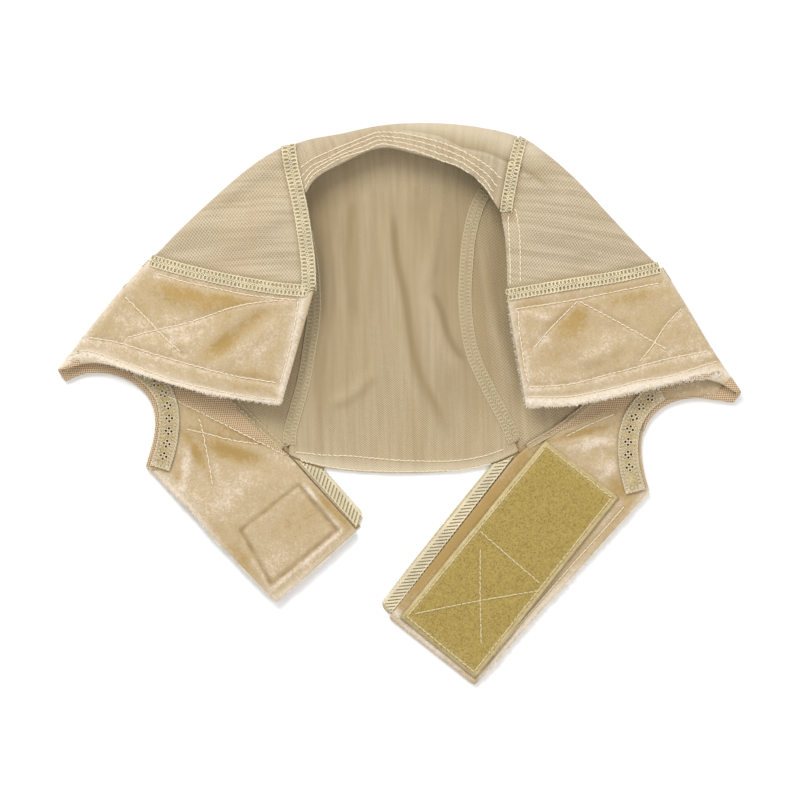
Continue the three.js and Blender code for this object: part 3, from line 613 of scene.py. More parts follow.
def mesh_panel(name, node, seed, levels):
    bm = cage_of(node, 0.6)
    mesh = bpy.data.meshes.new(name)
    bm.to_mesh(mesh)
    bm.free()
    piece = link(name, mesh, finishes()["power_mesh"])
    unwrap_metric(piece)
    refined(piece, levels)
    co = coordinates(piece.data)
    front = ease(co[:, 2], 3.2 * MM, 5.5 * MM)
    back = 1 - ease(co[:, 2], 2.2 * MM, 5 * MM)
    places = co[:, :2]
    top = front * (co[:, 1] > 80 * MM)
    tucked, dark = tuck(places, CROWN_TUCK)
    rise = front * folds(places, MESH_FOLDS["front"]) + top * tucked
    rise += back * folds(places, MESH_FOLDS["back"])
    rise += front * 0.35 * MM * field(co, 14 * MM, seed, depth=2)
    rise += back * 0.28 * MM * (field(co, 12 * MM, seed + 3, (0.6, 2.4), 2) + 0.35)
    under = co[:, 2] < 0.6 * MM
    co[:, 2] += rise * np.where(under, np.clip(rise / MM, 0, 1), 1)
    co[:, 2] = np.maximum(co[:, 2], 0.02 * MM)
    put_back(piece.data, co)
    x_mm, y_mm = places[:, 0] / MM, places[:, 1] / MM
    shade = 0.85 * top * dark
    # Painted shade on the inside of the back layer: darker from the middle up and towards the sides, where the front
    # layer shades it, and eased off right under the front hem, where the lamps cast a shadow
    sides = np.maximum(ease(x_mm, 4, 24), ease(-x_mm, 18, 34))
    inner_shade = 0.18 + 0.15 * ease(y_mm, 30, 70) * (1 - 2 * ease(y_mm, 84, 102)) + 0.3 * sides * ease(y_mm, -20, 20) * (1 - ease(y_mm, 88, 104))
    shade = np.maximum(shade, back * inner_shade * ease(y_mm, -24, 10) * (1 + 0.35 * field(co, 16 * MM, seed + 31, (0.6, 2))))
    # Painted shade under and beside the flatlock seams of the front layer
    for seam in [*FRONT_SEAMS.values(), *GRIP_SEAMS.values()]:
        signed, _ = to_line(places, smooth_path(plan(seam["line"]), 4 * MM))
        shade = np.maximum(shade, 0.7 * front * (1 - ease(np.abs(signed), 2.8 * MM, 5.4 * MM)))
    hem = near_rows(places, [HEM_ROWS["front_middle"]], 4.2 * MM)
    shade = np.maximum(shade, 0.3 * front * hem)
    # Painted shade along one side of each back fold and a painted highlight along its other side
    for fold in MESH_FOLDS["back"]:
        signed, share = to_line(places, smooth_path(plan(fold["line"]), 6 * MM))
        inside = (share > 0.01) & (share < 0.99)
        fade = ease(share, 0.0, 0.15) * (1 - ease(share, 0.8, 1.0)) * inside
        weight = min(1.0, 0.85 * fold["rise"]) * back * fade
        shade = np.maximum(shade, weight * np.exp(-(((signed - 1.4 * MM) / (2.6 * MM)) ** 2)))
        shade -= 0.3 * weight * np.exp(-(((signed + 3 * MM) / (2 * MM)) ** 2))
    store(piece.data, "shade", np.clip(shade, 0, 1))
    store(piece.data, "inside", back)
    # Paler along the nape hem band, and a painted highlight along the crown's top
    pale = back * near_rows(places, [HEM_ROWS["nape_lower"]], 3.4 * MM)
    store(piece.data, "pale", np.maximum(pale, 0.8 * front * near_rows(places, [CROWN_TOP], 6 * MM)))
    return piece


def grip_band(name, node, side, seed):
    bm = cage_of(node, 0.75)
    mesh = bpy.data.meshes.new(name)
    bm.to_mesh(mesh)
    bm.free()
    piece = link(name, mesh, finishes()["velvet"])
    refined(piece, sizes().smoothing)
    co = coordinates(piece.data)
    up = normals(piece.data)[:, 2]
    places = co[:, :2]
    front = ease(co[:, 2], 3.2 * MM, 4.4 * MM) * (co[:, 1] > -8 * MM)
    back = 1 - ease(co[:, 2], 2.6 * MM, 4 * MM) * (co[:, 1] > -8 * MM)
    table = BAND_FOLDS[side]
    patch = list(PATCH_ROWS[side].values())
    rise = front * (folds(places, table["front"]) + 0.9 * sizes().wrinkle * field(co, 9 * MM, seed, (1.3, 0.9), 2))
    rise += front * (up > 0) * dents(places, patch, 0.8 * MM, 1.2 * MM)
    strap = list(STRAP_ROWS[side].values())
    rise += back * (up > 0) * (folds(places, table["back"]) + dents(places, strap, 0.65 * MM, 1.1 * MM))
    groove = np.zeros(len(co))
    ridge = np.zeros(len(co))
    if side == "left":
        # The box's groove is dented and darkened with painted shade, and the ridge outside its lower right sides is
        # raised and paled with a painted highlight
        signed, share = to_line(places, straight_path(plan(HOOK_BOX), 3 * MM))
        groove = back * (up > 0) * np.exp(-((signed / (0.8 * MM)) ** 2))
        ridge = back * (up > 0) * np.exp(-(((signed - 2 * MM) / (1.4 * MM)) ** 2))
        ridge *= ease(share, 0.26, 0.34) * (1 - ease(share, 0.84, 0.96))
        rise += -0.8 * MM * groove + 0.6 * MM * ridge + 0.3 * MM * back * (up > 0) * (1 - ease(signed, -2 * MM, -0.6 * MM))
    rise += back * (up > 0) * sizes().wrinkle * field(co, 8 * MM, seed + 5, (1, 1.2), 2)
    rise += back * (up > 0) * 0.12 * MM * field(co, 3 * MM, seed + 8, (1, 1.2), 2)
    rise += front * (up > 0) * 0.1 * MM * field(co, 3 * MM, seed + 9, (1, 1.2), 2)
    co[:, 2] += rise
    co[:, 2] = np.maximum(co[:, 2], 0.02 * MM)
    put_back(piece.data, co)
    # Painted light: slopes that face up and to the left, towards the key lamp, turn pale and slopes that face away turn
    # golden
    lit_lean = normals(piece.data) @ np.array([-0.5, 0.75, 0.0])
    clouds = field(co, 16 * MM, seed + 11, (1.5, 0.8), 2)
    streaks = field(co, 5 * MM, seed + 17, (0.7, 1.4), 2)
    tone = tones(places, TONES[side])
    # The pile value mixes painted light, from the slopes, the pale and golden patches and the ridges, with the pile's
    # own random tones
    pile = 0.5 + 0.45 * lit_lean * (up > 0.2) + 0.14 * clouds + 0.2 * streaks + (up > 0) * np.where(tone < 0, 1.2, 0.8) * tone
    # Painted highlight on the box's ridge
    pile += 0.45 * ridge
    borders = [PATCH_ROWS[side][row] for row in ("top", "bottom", "inner")]
    crosses = [row for key, row in PATCH_ROWS[side].items() if "cross" in key]
    # Painted highlight beside the patches' stitched borders and crosses, where the pressed pile catches the light
    pile += 0.34 * front * near_rows(places, borders, 2.3 * MM) + 0.2 * front * near_rows(places, crosses, 1.5 * MM)
    store(piece.data, "pile", pile)
    pale = np.zeros(len(co))
    for row, spread, strength in PALE_EDGES[side]:
        level = front if row[0][1] < 450 and row[-1][1] < 450 else back
        pale = np.maximum(pale, strength * level * near_rows(places, [row], spread * MM))
    store(piece.data, "edge", pale)
    # Painted shade in the grooves that the stitch rows pull in, and in the box's groove
    crossing = near_rows(places, borders + crosses, 0.55 * MM) * front + near_rows(places, strap, 0.55 * MM) * back
    store(piece.data, "shade", np.clip((up > 0) * (0.35 * crossing + 0.55 * groove * (1 + field(co, 4 * MM, seed + 3))), 0, 1))
    return piece


def ear_lining(name, side):
    """Mesh lining that follows the inside of the band from the side tip to the elastic."""
    bm = bmesh.new()
    bm.from_mesh(made[f"velvet_{side}"].data)
    limit = 4.2 * MM
    middles = [face.calc_center_median() for face in bm.faces]
    signed, share = to_line(np.array([middle[:2] for middle in middles]), plan(TIP_EDGE[side]))
    tip = (signed < 0) & (share > 0.01) & (share < 0.99)
    loose = [
        face for face, middle, low in zip(bm.faces, middles, tip)
        if face.normal.z < 0.15 or (middle.z > limit and not low)
    ]
    bmesh.ops.delete(bm, geom=loose, context="FACES")
    (ax, ay), (bx, by) = plan(LINING_EDGE[side])
    bmesh.ops.bisect_plane(
        bm, geom=bm.verts[:] + bm.edges[:] + bm.faces[:], plane_co=(ax, ay, 0), plane_no=(by - ay, ax - bx, 0)
    )
    middles = np.array([face.calc_center_median()[:2] for face in bm.faces])
    signed, _ = to_line(middles, plan(LINING_ENDS[side]))
    bmesh.ops.delete(bm, geom=[face for face, off in zip(bm.faces, signed) if off < 0], context="FACES")
    for vert in bm.verts:
        vert.co.z += 0.1 * MM
    bmesh.ops.solidify(bm, geom=bm.faces[:], thickness=-0.25 * MM)
    bmesh.ops.recalc_face_normals(bm, faces=bm.faces[:])
    mesh = bpy.data.meshes.new(name)
    bm.to_mesh(mesh)
    bm.free()
    return link(name, mesh, finishes()["lining"])


# Sewing

def threads(name, lines, radius, finish, sides=1):
    """Round threads of one radius along many lines, as one mesh."""
    curve = bpy.data.curves.new(name, "CURVE")
    curve.dimensions = "3D"
    curve.bevel_depth = radius
    curve.bevel_resolution = sides
    curve.use_fill_caps = True
    for line in lines:
        spline = curve.splines.new("POLY")
        spline.points.add(len(line) - 1)
        spline.points.foreach_set("co", np.array([(x, y, max(z, radius), 1) for x, y, z in line]).reshape(-1))
    holder = bpy.data.objects.new(name, curve)
    bpy.context.scene.collection.objects.link(holder)
    graph = bpy.context.evaluated_depsgraph_get()
    mesh = bpy.data.meshes.new_from_object(holder.evaluated_get(graph))
    bpy.data.objects.remove(holder)
    bpy.data.curves.remove(curve)
    return hand_in(link(name, mesh, finishes()[finish]))


def stitches(path, drop, start=0.05):
    """One arched thread for each stitch along an even plan path."""
    length = sizes().stitch_length
    radius = sizes().stitch_radius
    step = 0.25 * MM
    path = spaced(np.array(path), step)
    reach = np.arange(len(path)) * step
    draw = random.Random(len(path))
    lines = []
    for begin in np.arange(step, reach[-1] - length, length + sizes().stitch_space):
        sway = draw.uniform(-0.2, 0.2) * MM
        line = []
        for share, lift in ((0, -0.8), (0.15, 0.7), (0.5, 1.1), (0.85, 0.7), (1, -0.8)):
            point = [np.interp(begin + share * length, reach, path[:, k]) + sway * (1 - 2 * share) for k in (0, 1)]
            hit, normal = drop.at(point, start)
            line.append(hit + normal * lift * radius)
        if np.ptp([place.z for place in line]) < 1.3 * MM:
            lines.append(line)
    return lines


def ring(middle, along, left, reach_along, reach_across, count=8):
    """Plan points of an oval loop."""
    turns = [2 * math.pi * k / count for k in range(count + 1)]
    return [middle + along * math.cos(turn) * reach_along + left * math.sin(turn) * reach_across for turn in turns]


def bridged(path, drop, start, slope=1.2):
    """Heights of the cloth along a plan path, without a fall that is steeper than sewing can bend."""
    heights = np.array([drop.over(point, start)[0].z for point in path])
    falls = np.linalg.norm(np.diff(path, axis=0), axis=1) * slope
    for i in range(1, len(heights)):
        heights[i] = max(heights[i], heights[i - 1] - falls[i - 1])
    for i in range(len(heights) - 2, -1, -1):
        heights[i] = max(heights[i], heights[i + 1] - falls[i])
    return heights


def lace(path, width, drop, start=0.05, lift=0.3 * MM):
    """Flatlock seam: wavy rails at both borders, a middle thread, and two columns of loops between them."""
    pitch = sizes().lace_pitch
    radius = sizes().seam_radius
    path = spaced(path, pitch / 4)
    left = across(path)
    half = width / 2 - radius
    draw = random.Random(len(path))

    lowest = bridged(path, drop, start)

    def on(i, point, rise):
        hit, _ = drop.over(point, start)
        height = max(hit.z, lowest[i] - 0.8 * float(np.linalg.norm(point - path[i])))
        return Vector((point[0], point[1], height + lift + radius + rise))

    rails = [[], [], []]
    for i in range(len(path)):
        swing = (0.0, 0.22, 0.3, 0.12)[i % 4] * MM
        rails[0].append(on(i, path[i] + left[i] * (half - swing), 0.1 * MM))
        rails[1].append(on(i, path[i] - left[i] * (half - swing), 0.1 * MM))
        rails[2].append(on(i, path[i] + left[i] * (0.3 if i % 4 < 2 else -0.3) * MM, 0.16 * MM))
    loops = []
    for i in range(1, len(path) - 2, 4):
        along = np.array([left[i][1], -left[i][0]])
        for side in (1, -1):
            at = min(i + (2 if side < 0 else 0), len(path) - 1)
            middle = path[at] + left[at] * side * half * (0.5 + draw.uniform(-0.05, 0.05))
            oval = ring(middle, along, left[at], pitch * draw.uniform(0.4, 0.5), half * 0.46)
            loops.append([on(at, point, (0.12 if k % 2 else -0.04) * MM) for k, point in enumerate(oval)])
    return rails + loops


def ribbon(name, path, width, drop, lift, wall, finish, start=0.05, columns=6):
    """A thin tape that follows the cloth along a plan path and bridges the gap under it."""
    path = spaced(path, 1.2 * MM)
    left = across(path)
    lowest = bridged(path, drop, start)
    bm = bmesh.new()
    grid = bmesh.ops.create_grid(bm, x_segments=columns, y_segments=len(path) - 1, size=1)["verts"]
    for vert in grid:
        i = round((vert.co.y + 1) / 2 * (len(path) - 1))
        point = path[i] + left[i] * vert.co.x * width / 2
        edge = 1 - vert.co.x**4
        hit, _ = drop.over(point, start)
        height = max(hit.z, lowest[i] - 0.8 * abs(vert.co.x) * width / 2)
        vert.co = (point[0], point[1], height + lift * edge)
    bmesh.ops.recalc_face_normals(bm, faces=bm.faces)
    if sum(face.normal.z for face in bm.faces) < 0:
        bmesh.ops.reverse_faces(bm, faces=bm.faces)
    bmesh.ops.solidify(bm, geom=bm.faces, thickness=wall)
    mesh = bpy.data.meshes.new(name)
    bm.to_mesh(mesh)
    bm.free()
    return hand_in(link(name, mesh, finishes()[finish]))


def fluff(path, outward, drop, count, length, inset, draw, start=0.05):
    """Short bent fibres that stand out from a cut edge."""
    lines = []
    for _ in range(count):
        share = draw.random() * (len(path) - 1)
        i = min(int(share), len(path) - 2)
        out = outward[i]
        root = path[i] + (path[i + 1] - path[i]) * (share - i) - out * inset * draw.random() ** 1.5
        hit, _ = drop.at(root, start)
        turn = draw.uniform(-1.1, 1.1)
        way = Vector((out[0] * math.cos(turn) - out[1] * math.sin(turn), out[0] * math.sin(turn) + out[1] * math.cos(turn), 0))
        reach = length * draw.uniform(0.4, 1.0)
        bend = Vector((-way.y, way.x, 0)) * draw.uniform(-0.35, 0.35) * reach
        rise = Vector((0, 0, draw.uniform(0.1, 0.6) * reach))
        lines.append([hit - Vector((0, 0, 0.15 * MM)), hit + way * reach * 0.5 + rise, hit + way * reach + bend + rise * 0.5])
    return lines


# Finishes

class Finish:
    """Builds one material's nodes."""

    def __init__(self, name, roughness, sheen=0.0, sheen_tint=(1, 1, 1), specular=0.2):
        self.material = bpy.data.materials.new(name)
        self.material.use_nodes = True
        self.tree = self.material.node_tree
        self.base = self.tree.nodes["Principled BSDF"]
        self.base.inputs["Roughness"].default_value = roughness
        self.base.inputs["Specular IOR Level"].default_value = specular
        self.base.inputs["Sheen Weight"].default_value = sheen
        self.base.inputs["Sheen Roughness"].default_value = 0.45
        self.base.inputs["Sheen Tint"].default_value = (*sheen_tint, 1)

    def node(self, kind, **settings):
        made = self.tree.nodes.new(kind)
        for key, value in settings.items():
            setattr(made, key, value)
        return made

    def join(self, value, socket):
        if isinstance(value, bpy.types.NodeSocket):
            self.tree.links.new(value, socket)
        elif isinstance(value, (int, float)):
            socket.default_value = value
        else:
            socket.default_value = (*value, 1) if len(socket.default_value) == 4 else tuple(value)

    def math(self, operation, a, b=0.0, c=0.0, clamp=False):
        made = self.node("ShaderNodeMath", operation=operation, use_clamp=clamp)
        for socket, value in zip(made.inputs, (a, b, c)):
            self.join(value, socket)
        return made.outputs[0]

    def spread(self, value, low, high, to_low=0.0, to_high=1.0):
        made = self.node("ShaderNodeMapRange", interpolation_type="SMOOTHSTEP")
        for socket, number in zip(made.inputs, (value, low, high, to_low, to_high)):
            self.join(number, socket)
        return made.outputs[0]

    def mix(self, factor, a, b, blend="MIX"):
        made = self.node("ShaderNodeMix", data_type="RGBA", blend_type=blend)
        self.join(factor, made.inputs["Factor"])
        self.join(a, made.inputs[6])
        self.join(b, made.inputs[7])
        return made.outputs[2]

    def noise(self, vector, scale, detail=2.0, rough=0.5):
        made = self.node("ShaderNodeTexNoise")
        self.join(vector, made.inputs["Vector"])
        self.join(scale, made.inputs["Scale"])
        self.join(detail, made.inputs["Detail"])
        self.join(rough, made.inputs["Roughness"])
        return made.outputs["Fac"]

    def place(self, stretch=(1, 1, 1), turn=0.0):
        where = self.node("ShaderNodeTexCoord").outputs["Object"]
        made = self.node("ShaderNodeMapping")
        self.join(where, made.inputs["Vector"])
        made.inputs["Rotation"].default_value = (0, 0, turn)
        made.inputs["Scale"].default_value = stretch
        return made.outputs[0]

    def own(self, name):
        return self.node("ShaderNodeAttribute", attribute_name=name).outputs["Fac"]

    def bump(self, height, distance, strength=1.0, under=None):
        made = self.node("ShaderNodeBump")
        made.inputs["Strength"].default_value = strength
        made.inputs["Distance"].default_value = distance
        self.join(height, made.inputs["Height"])
        if under is not None:
            self.join(under, made.inputs["Normal"])
        return made.outputs[0]

    def done(self, colour, normal=None):
        self.join(colour, self.base.inputs["Base Color"])
        if normal is not None:
            self.join(normal, self.base.inputs["Normal"])
        return self.material


def net(finish, where, pitch):
    """Height of a knitted net with staggered holes: 1 on the yarn, 0 in a hole. The map is in metres."""
    parts = finish.node("ShaderNodeSeparateXYZ")
    finish.join(where, parts.inputs[0])
    across_wave = finish.math("COSINE", finish.math("MULTIPLY", parts.outputs[0], 2 * math.pi / pitch))
    along_wave = finish.math("COSINE", finish.math("MULTIPLY", parts.outputs[1], 2 * math.pi / (0.8 * pitch)))
    cells = finish.math("MULTIPLY", across_wave, along_wave)
    return finish.spread(cells, 0.7, -0.15), parts


def power_mesh():
    finish = Finish("power_mesh", 0.75, 0.2, (1, 0.95, 0.85))
    tint = colours()
    yarn, parts = net(finish, finish.node("ShaderNodeUVMap").outputs[0], sizes().mesh_pitch)
    wale = finish.node("ShaderNodeCombineXYZ")
    finish.join(parts.outputs[0], wale.inputs[0])
    finish.join(finish.math("MULTIPLY", parts.outputs[1], 0.05), wale.inputs[1])
    streak = finish.noise(wale.outputs[0], 520, 3, 0.65)
    broad_streak = finish.noise(wale.outputs[0], 95, 2, 0.6)
    patchy = finish.noise(finish.place((1, 0.5, 1)), 42, 3, 0.6)
    grain = finish.noise(finish.place(), 1100, 2, 0.6)
    ground = finish.mix(finish.spread(streak, 0.36, 0.62), tint.mesh_hole[:], tint.mesh[:])
    holes = finish.mix(0.35, tint.mesh_hole[:], ground)
    colour = finish.mix(finish.math("MULTIPLY", yarn, 0.85), holes, finish.mix(0.62, ground, tint.mesh[:]))
    colour = finish.mix(finish.spread(grain, 0.55, 0.8, 0.0, 0.45), colour, (0.7, 0.6, 0.45))
    colour = finish.mix(finish.spread(patchy, 0.4, 0.75, 0.0, 0.3), colour, (0.46, 0.34, 0.2))
    inside = finish.own("inside")
    colour = finish.mix(finish.math("MULTIPLY", inside, 0.45), colour, (0.42, 0.32, 0.165))
    brown = finish.math("MULTIPLY", inside, finish.spread(broad_streak, 0.5, 0.78, 0.0, 0.5))
    colour = finish.mix(brown, colour, (0.3, 0.21, 0.1))
    # Painted shade and shadow from the shade attribute
    colour = finish.mix(finish.math("MULTIPLY", finish.own("shade"), 0.72), colour, (0.28, 0.2, 0.095))
    # Paler nape hem band, and a painted highlight on the crown's top
    colour = finish.mix(finish.math("MULTIPLY", finish.own("pale"), 0.55), colour, (0.72, 0.62, 0.46))
    return finish.done(colour, finish.bump(yarn, 0.3 * MM, 0.8))


def lining():
    finish = Finish("lining", 0.8, 0.15, (1, 0.9, 0.8))
    tint = colours().lining[:]
    yarn, _ = net(finish, finish.place((1, 1, 1), 0.7), sizes().lining_pitch)
    patchy = finish.noise(finish.place(), 70, 2, 0.6)
    dark = tuple(channel * 0.35 for channel in tint)
    pale = tuple(min(1.0, channel * 1.25 + 0.02) for channel in tint)
    colour = finish.mix(yarn, dark, pale)
    colour = finish.mix(finish.spread(patchy, 0.35, 0.7, 0.0, 0.35), colour, (0.45, 0.33, 0.2))
    return finish.done(colour, finish.bump(yarn, 0.3 * MM, 0.9))


def velvet():
    tint = colours()
    finish = Finish("velvet", 0.9, 0.3, (1, 0.95, 0.88), 0.05)
    clump = finish.noise(finish.place(), 420, 3, 0.6)
    nap = finish.noise(finish.place((1, 1, 1), 0.6), 1050, 4, 0.75)
    stray = finish.math("MULTIPLY_ADD", finish.math("SUBTRACT", clump, 0.5), 0.8, finish.own("pile"))
    lit_lean = finish.math("MULTIPLY_ADD", finish.math("SUBTRACT", nap, 0.5), 2.2, stray)
    # The pale colour paints sheen highlights and the gold colour paints shade, as the pile value carries them, mixed
    # with the pile's own tones
    colour = finish.mix(finish.spread(lit_lean, 0.42, 1.45), tint.velvet[:], tint.velvet_pale[:])
    colour = finish.mix(finish.spread(lit_lean, 0.5, -0.55), colour, tint.velvet_gold[:])
    edge = finish.math("MULTIPLY", finish.own("edge"), finish.spread(nap, 0.25, 0.6, 0.45, 1.0))
    colour = finish.mix(edge, colour, tint.velvet_edge[:])
    # Painted shade in grooves, stitch lines and creases
    colour = finish.mix(finish.own("shade"), colour, (0.26, 0.17, 0.07))
    soft = finish.bump(clump, 0.35 * MM, 0.5)
    return finish.done(colour, finish.bump(nap, 0.22 * MM, 0.7, soft))


def thread():
    finish = Finish("thread", 0.6, 0.3, (1, 0.97, 0.9), 0.3)
    twist = finish.noise(finish.place((1, 1, 1), 0.8), 3200, 2, 0.5)
    soft = finish.noise(finish.place(), 120, 2)
    tint = colours().thread[:]
    dull = tuple(channel * 0.78 for channel in tint)
    colour = finish.mix(finish.spread(soft, 0.3, 0.7), dull, tint)
    colour = finish.mix(finish.spread(twist, 0.35, 0.7, 0.0, 0.3), colour, (0.92, 0.88, 0.76))
    return finish.done(colour, finish.bump(twist, 0.1 * MM, 0.7))


def twisted(name, dark, pale):
    finish = Finish(name, 0.6, 0.3, (1, 0.97, 0.9), 0.3)
    twist = finish.noise(finish.place((1, 1, 1), 0.8), 3200, 2, 0.5)
    colour = finish.mix(finish.spread(twist, 0.3, 0.7), dark, pale)
    return finish.done(colour, finish.bump(twist, 0.1 * MM, 0.7))


def loops():
    finish = Finish("loops", 0.9, 0.3, (1, 0.95, 0.7), 0.1)
    tint = colours().pad[:]
    knots = finish.noise(finish.place(), 2300, 3, 0.7)
    broad = finish.noise(finish.place(), 120, 3, 0.6)
    dark = tuple(channel * 0.82 for channel in tint)
    pale = tuple(min(1.0, channel * 1.2 + 0.02) for channel in tint)
    colour = finish.mix(finish.spread(knots, 0.32, 0.52), dark, tint)
    colour = finish.mix(finish.spread(knots, 0.52, 0.7), colour, pale)
    colour = finish.mix(finish.spread(broad, 0.45, 0.8, 0.0, 0.3), colour, pale)
    colour = finish.mix(finish.math("MULTIPLY", finish.own("edge"), 0.8), colour, (0.6, 0.5, 0.29))
    return finish.done(colour, finish.bump(knots, 0.14 * MM, 0.7))


def elastic():
    finish = Finish("elastic", 0.7, 0.2, (1, 0.95, 0.85), 0.2)
    tint = colours().elastic[:]
    knit = finish.noise(finish.place(), 1900, 3, 0.65)
    broad = finish.noise(finish.place(), 160, 2)
    colour = finish.mix(finish.spread(knit, 0.36, 0.6), tuple(channel * 0.5 for channel in tint), tint)
    colour = finish.mix(finish.spread(knit, 0.58, 0.75, 0.0, 0.8), colour, (0.8, 0.7, 0.5))
    colour = finish.mix(finish.spread(broad, 0.4, 0.7, 0.0, 0.3), colour, (0.66, 0.55, 0.36))
    return finish.done(colour, finish.bump(knit, 0.35 * MM, 0.9))


def edging(name, dark, pale):
    finish = Finish(name, 0.8, 0.3, (1, 0.97, 0.9), 0.15)
    grain = finish.noise(finish.place(), 1300, 3, 0.6)
    colour = finish.mix(finish.spread(grain, 0.35, 0.62), dark, pale)
    return finish.done(colour, finish.bump(grain, 0.3 * MM, 0.7))


# Near-black brown of a painted shadow that shows through the eyelets
def eyelet_shadow():
    finish = Finish("eyelet_shadow", 1.0, specular=0.0)
    grain = finish.noise(finish.place(), 900, 2)
    return finish.done(finish.mix(grain, (0.07, 0.035, 0.01), (0.12, 0.06, 0.02)))


def fluff_finish():
    finish = Finish("fluff", 0.9, 0.5, (1, 1, 1), 0.1)
    grain = finish.noise(finish.place(), 300, 2)
    return finish.done(finish.mix(finish.spread(grain, 0.3, 0.7), (0.7, 0.62, 0.48), colours().fluff[:]))


def hook_finish():
    finish = Finish("hooks", 0.5, 0.0, (1, 1, 1), 0.4)
    grain = finish.noise(finish.place(), 500, 2)
    return finish.done(finish.mix(grain, (0.5, 0.38, 0.2), (0.6, 0.48, 0.28)))


made_finishes = {}


def finishes():
    if not made_finishes:
        made_finishes.update({
            "power_mesh": power_mesh(),
            "velvet": velvet(),
            "thread": thread(),
            "velvet_thread": twisted("velvet_thread", (0.66, 0.54, 0.36), (0.82, 0.72, 0.54)),
            "mesh_thread": twisted("mesh_thread", (0.45, 0.355, 0.205), (0.62, 0.52, 0.34)),
            "pad_thread": twisted("pad_thread", (0.5, 0.41, 0.2), (0.66, 0.56, 0.32)),
            "lining": lining(),
            "loops": loops(),
            "elastic": elastic(),
            # The flatlock tapes are dark, partly the seam's own darker cloth and partly painted shade in the gaps
            # between the seam's loops
            "edging": edging("edging", (0.24, 0.175, 0.08), (0.44, 0.35, 0.19)),
            "edge_cloth": edging("edge_cloth", (0.38, 0.3, 0.16), (0.56, 0.47, 0.29)),
            "eyelet_shadow": eyelet_shadow(),
            "inside_tape": twisted("inside_tape", (0.33, 0.255, 0.14), (0.45, 0.36, 0.21)),
            "fluff": fluff_finish(),
            "hooks": hook_finish(),
        })
    return made_finishes


# Operators

made = {}


class CAP_OT_stage(bpy.types.Operator):
    """Lays a pale floor, sets soft light and looks straight down"""

    bl_idname = "cap.stage"
    bl_label = "Stage"

    height = 1.5
    view_width = 0.352

    def execute(self, context):
        scene = context.scene
        bm = bmesh.new()
        bmesh.ops.create_grid(bm, x_segments=1, y_segments=1, size=3)
        mesh = bpy.data.meshes.new("floor")
        bm.to_mesh(mesh)
        bm.free()
        finish = Finish("floor", 0.9, specular=0.1)
        grain = finish.noise(finish.place(), 40, 2)
        tint = colours().floor[:]
        colour = finish.mix(finish.spread(grain, 0.3, 0.7), tuple(channel * 0.985 for channel in tint), tint)
        floor = link("floor", mesh, finish.done(colour))
        camera = bpy.data.cameras.new("camera")
        camera.sensor_width = 36
        camera.lens = camera.sensor_width * self.height / self.view_width
        camera.clip_start = 0.05
        eye = bpy.data.objects.new("camera", camera)
        eye.location = (0.0002, 0.0018, self.height)
        scene.collection.objects.link(eye)
        scene.camera = eye
        world = bpy.data.worlds.new("studio")
        world.use_nodes = True
        world.node_tree.nodes["Background"].inputs["Color"].default_value = (1, 1, 1, 1)
        world.node_tree.nodes["Background"].inputs["Strength"].default_value = 0.72
        scene.world = world
        self.lamp(scene, "key", (-0.32, 0.74, 0.95), 0.55, 10.5)
        self.lamp(scene, "fill", (0.6, -0.3, 1.1), 0.9, 4)
        scene.view_settings.view_transform = "Standard"
        return {"FINISHED"}

    def lamp(self, scene, name, place, size, power):
        light = bpy.data.lights.new(name, "AREA")
        light.size = size
        light.energy = power
        lamp = bpy.data.objects.new(name, light)
        lamp.location = place
        lamp.rotation_euler = (-Vector(place)).to_track_quat("-Z", "Y").to_euler()
        scene.collection.objects.link(lamp)


class CAP_OT_mesh_panels(bpy.types.Operator):
    """Makes the three panels of the stretch mesh dome"""

    bl_idname = "cap.mesh_panels"
    bl_label = "Mesh Panels"

    def execute(self, context):
        for seed, (name, node, levels) in enumerate((
            ("mesh_centre", "centre_panel", 3), ("mesh_left", "side_panel_left", 2), ("mesh_right", "side_panel_right", 2),
        )):
            made[name] = hand_in(mesh_panel(name, node, 3 + 10 * seed, levels), [node])
        return {"FINISHED"}


class CAP_OT_grip_bands(bpy.types.Operator):
    """Makes the velvet bands with their folds and quilting"""

    bl_idname = "cap.grip_bands"
    bl_label = "Velvet Bands"

    def execute(self, context):
        for seed, side in enumerate(SIDES):
            name = f"velvet_{side}"
            node = f"grip_band_{side}"
            made[name] = hand_in(grip_band(name, node, side, 51 + 20 * seed), [node])
        return {"FINISHED"}


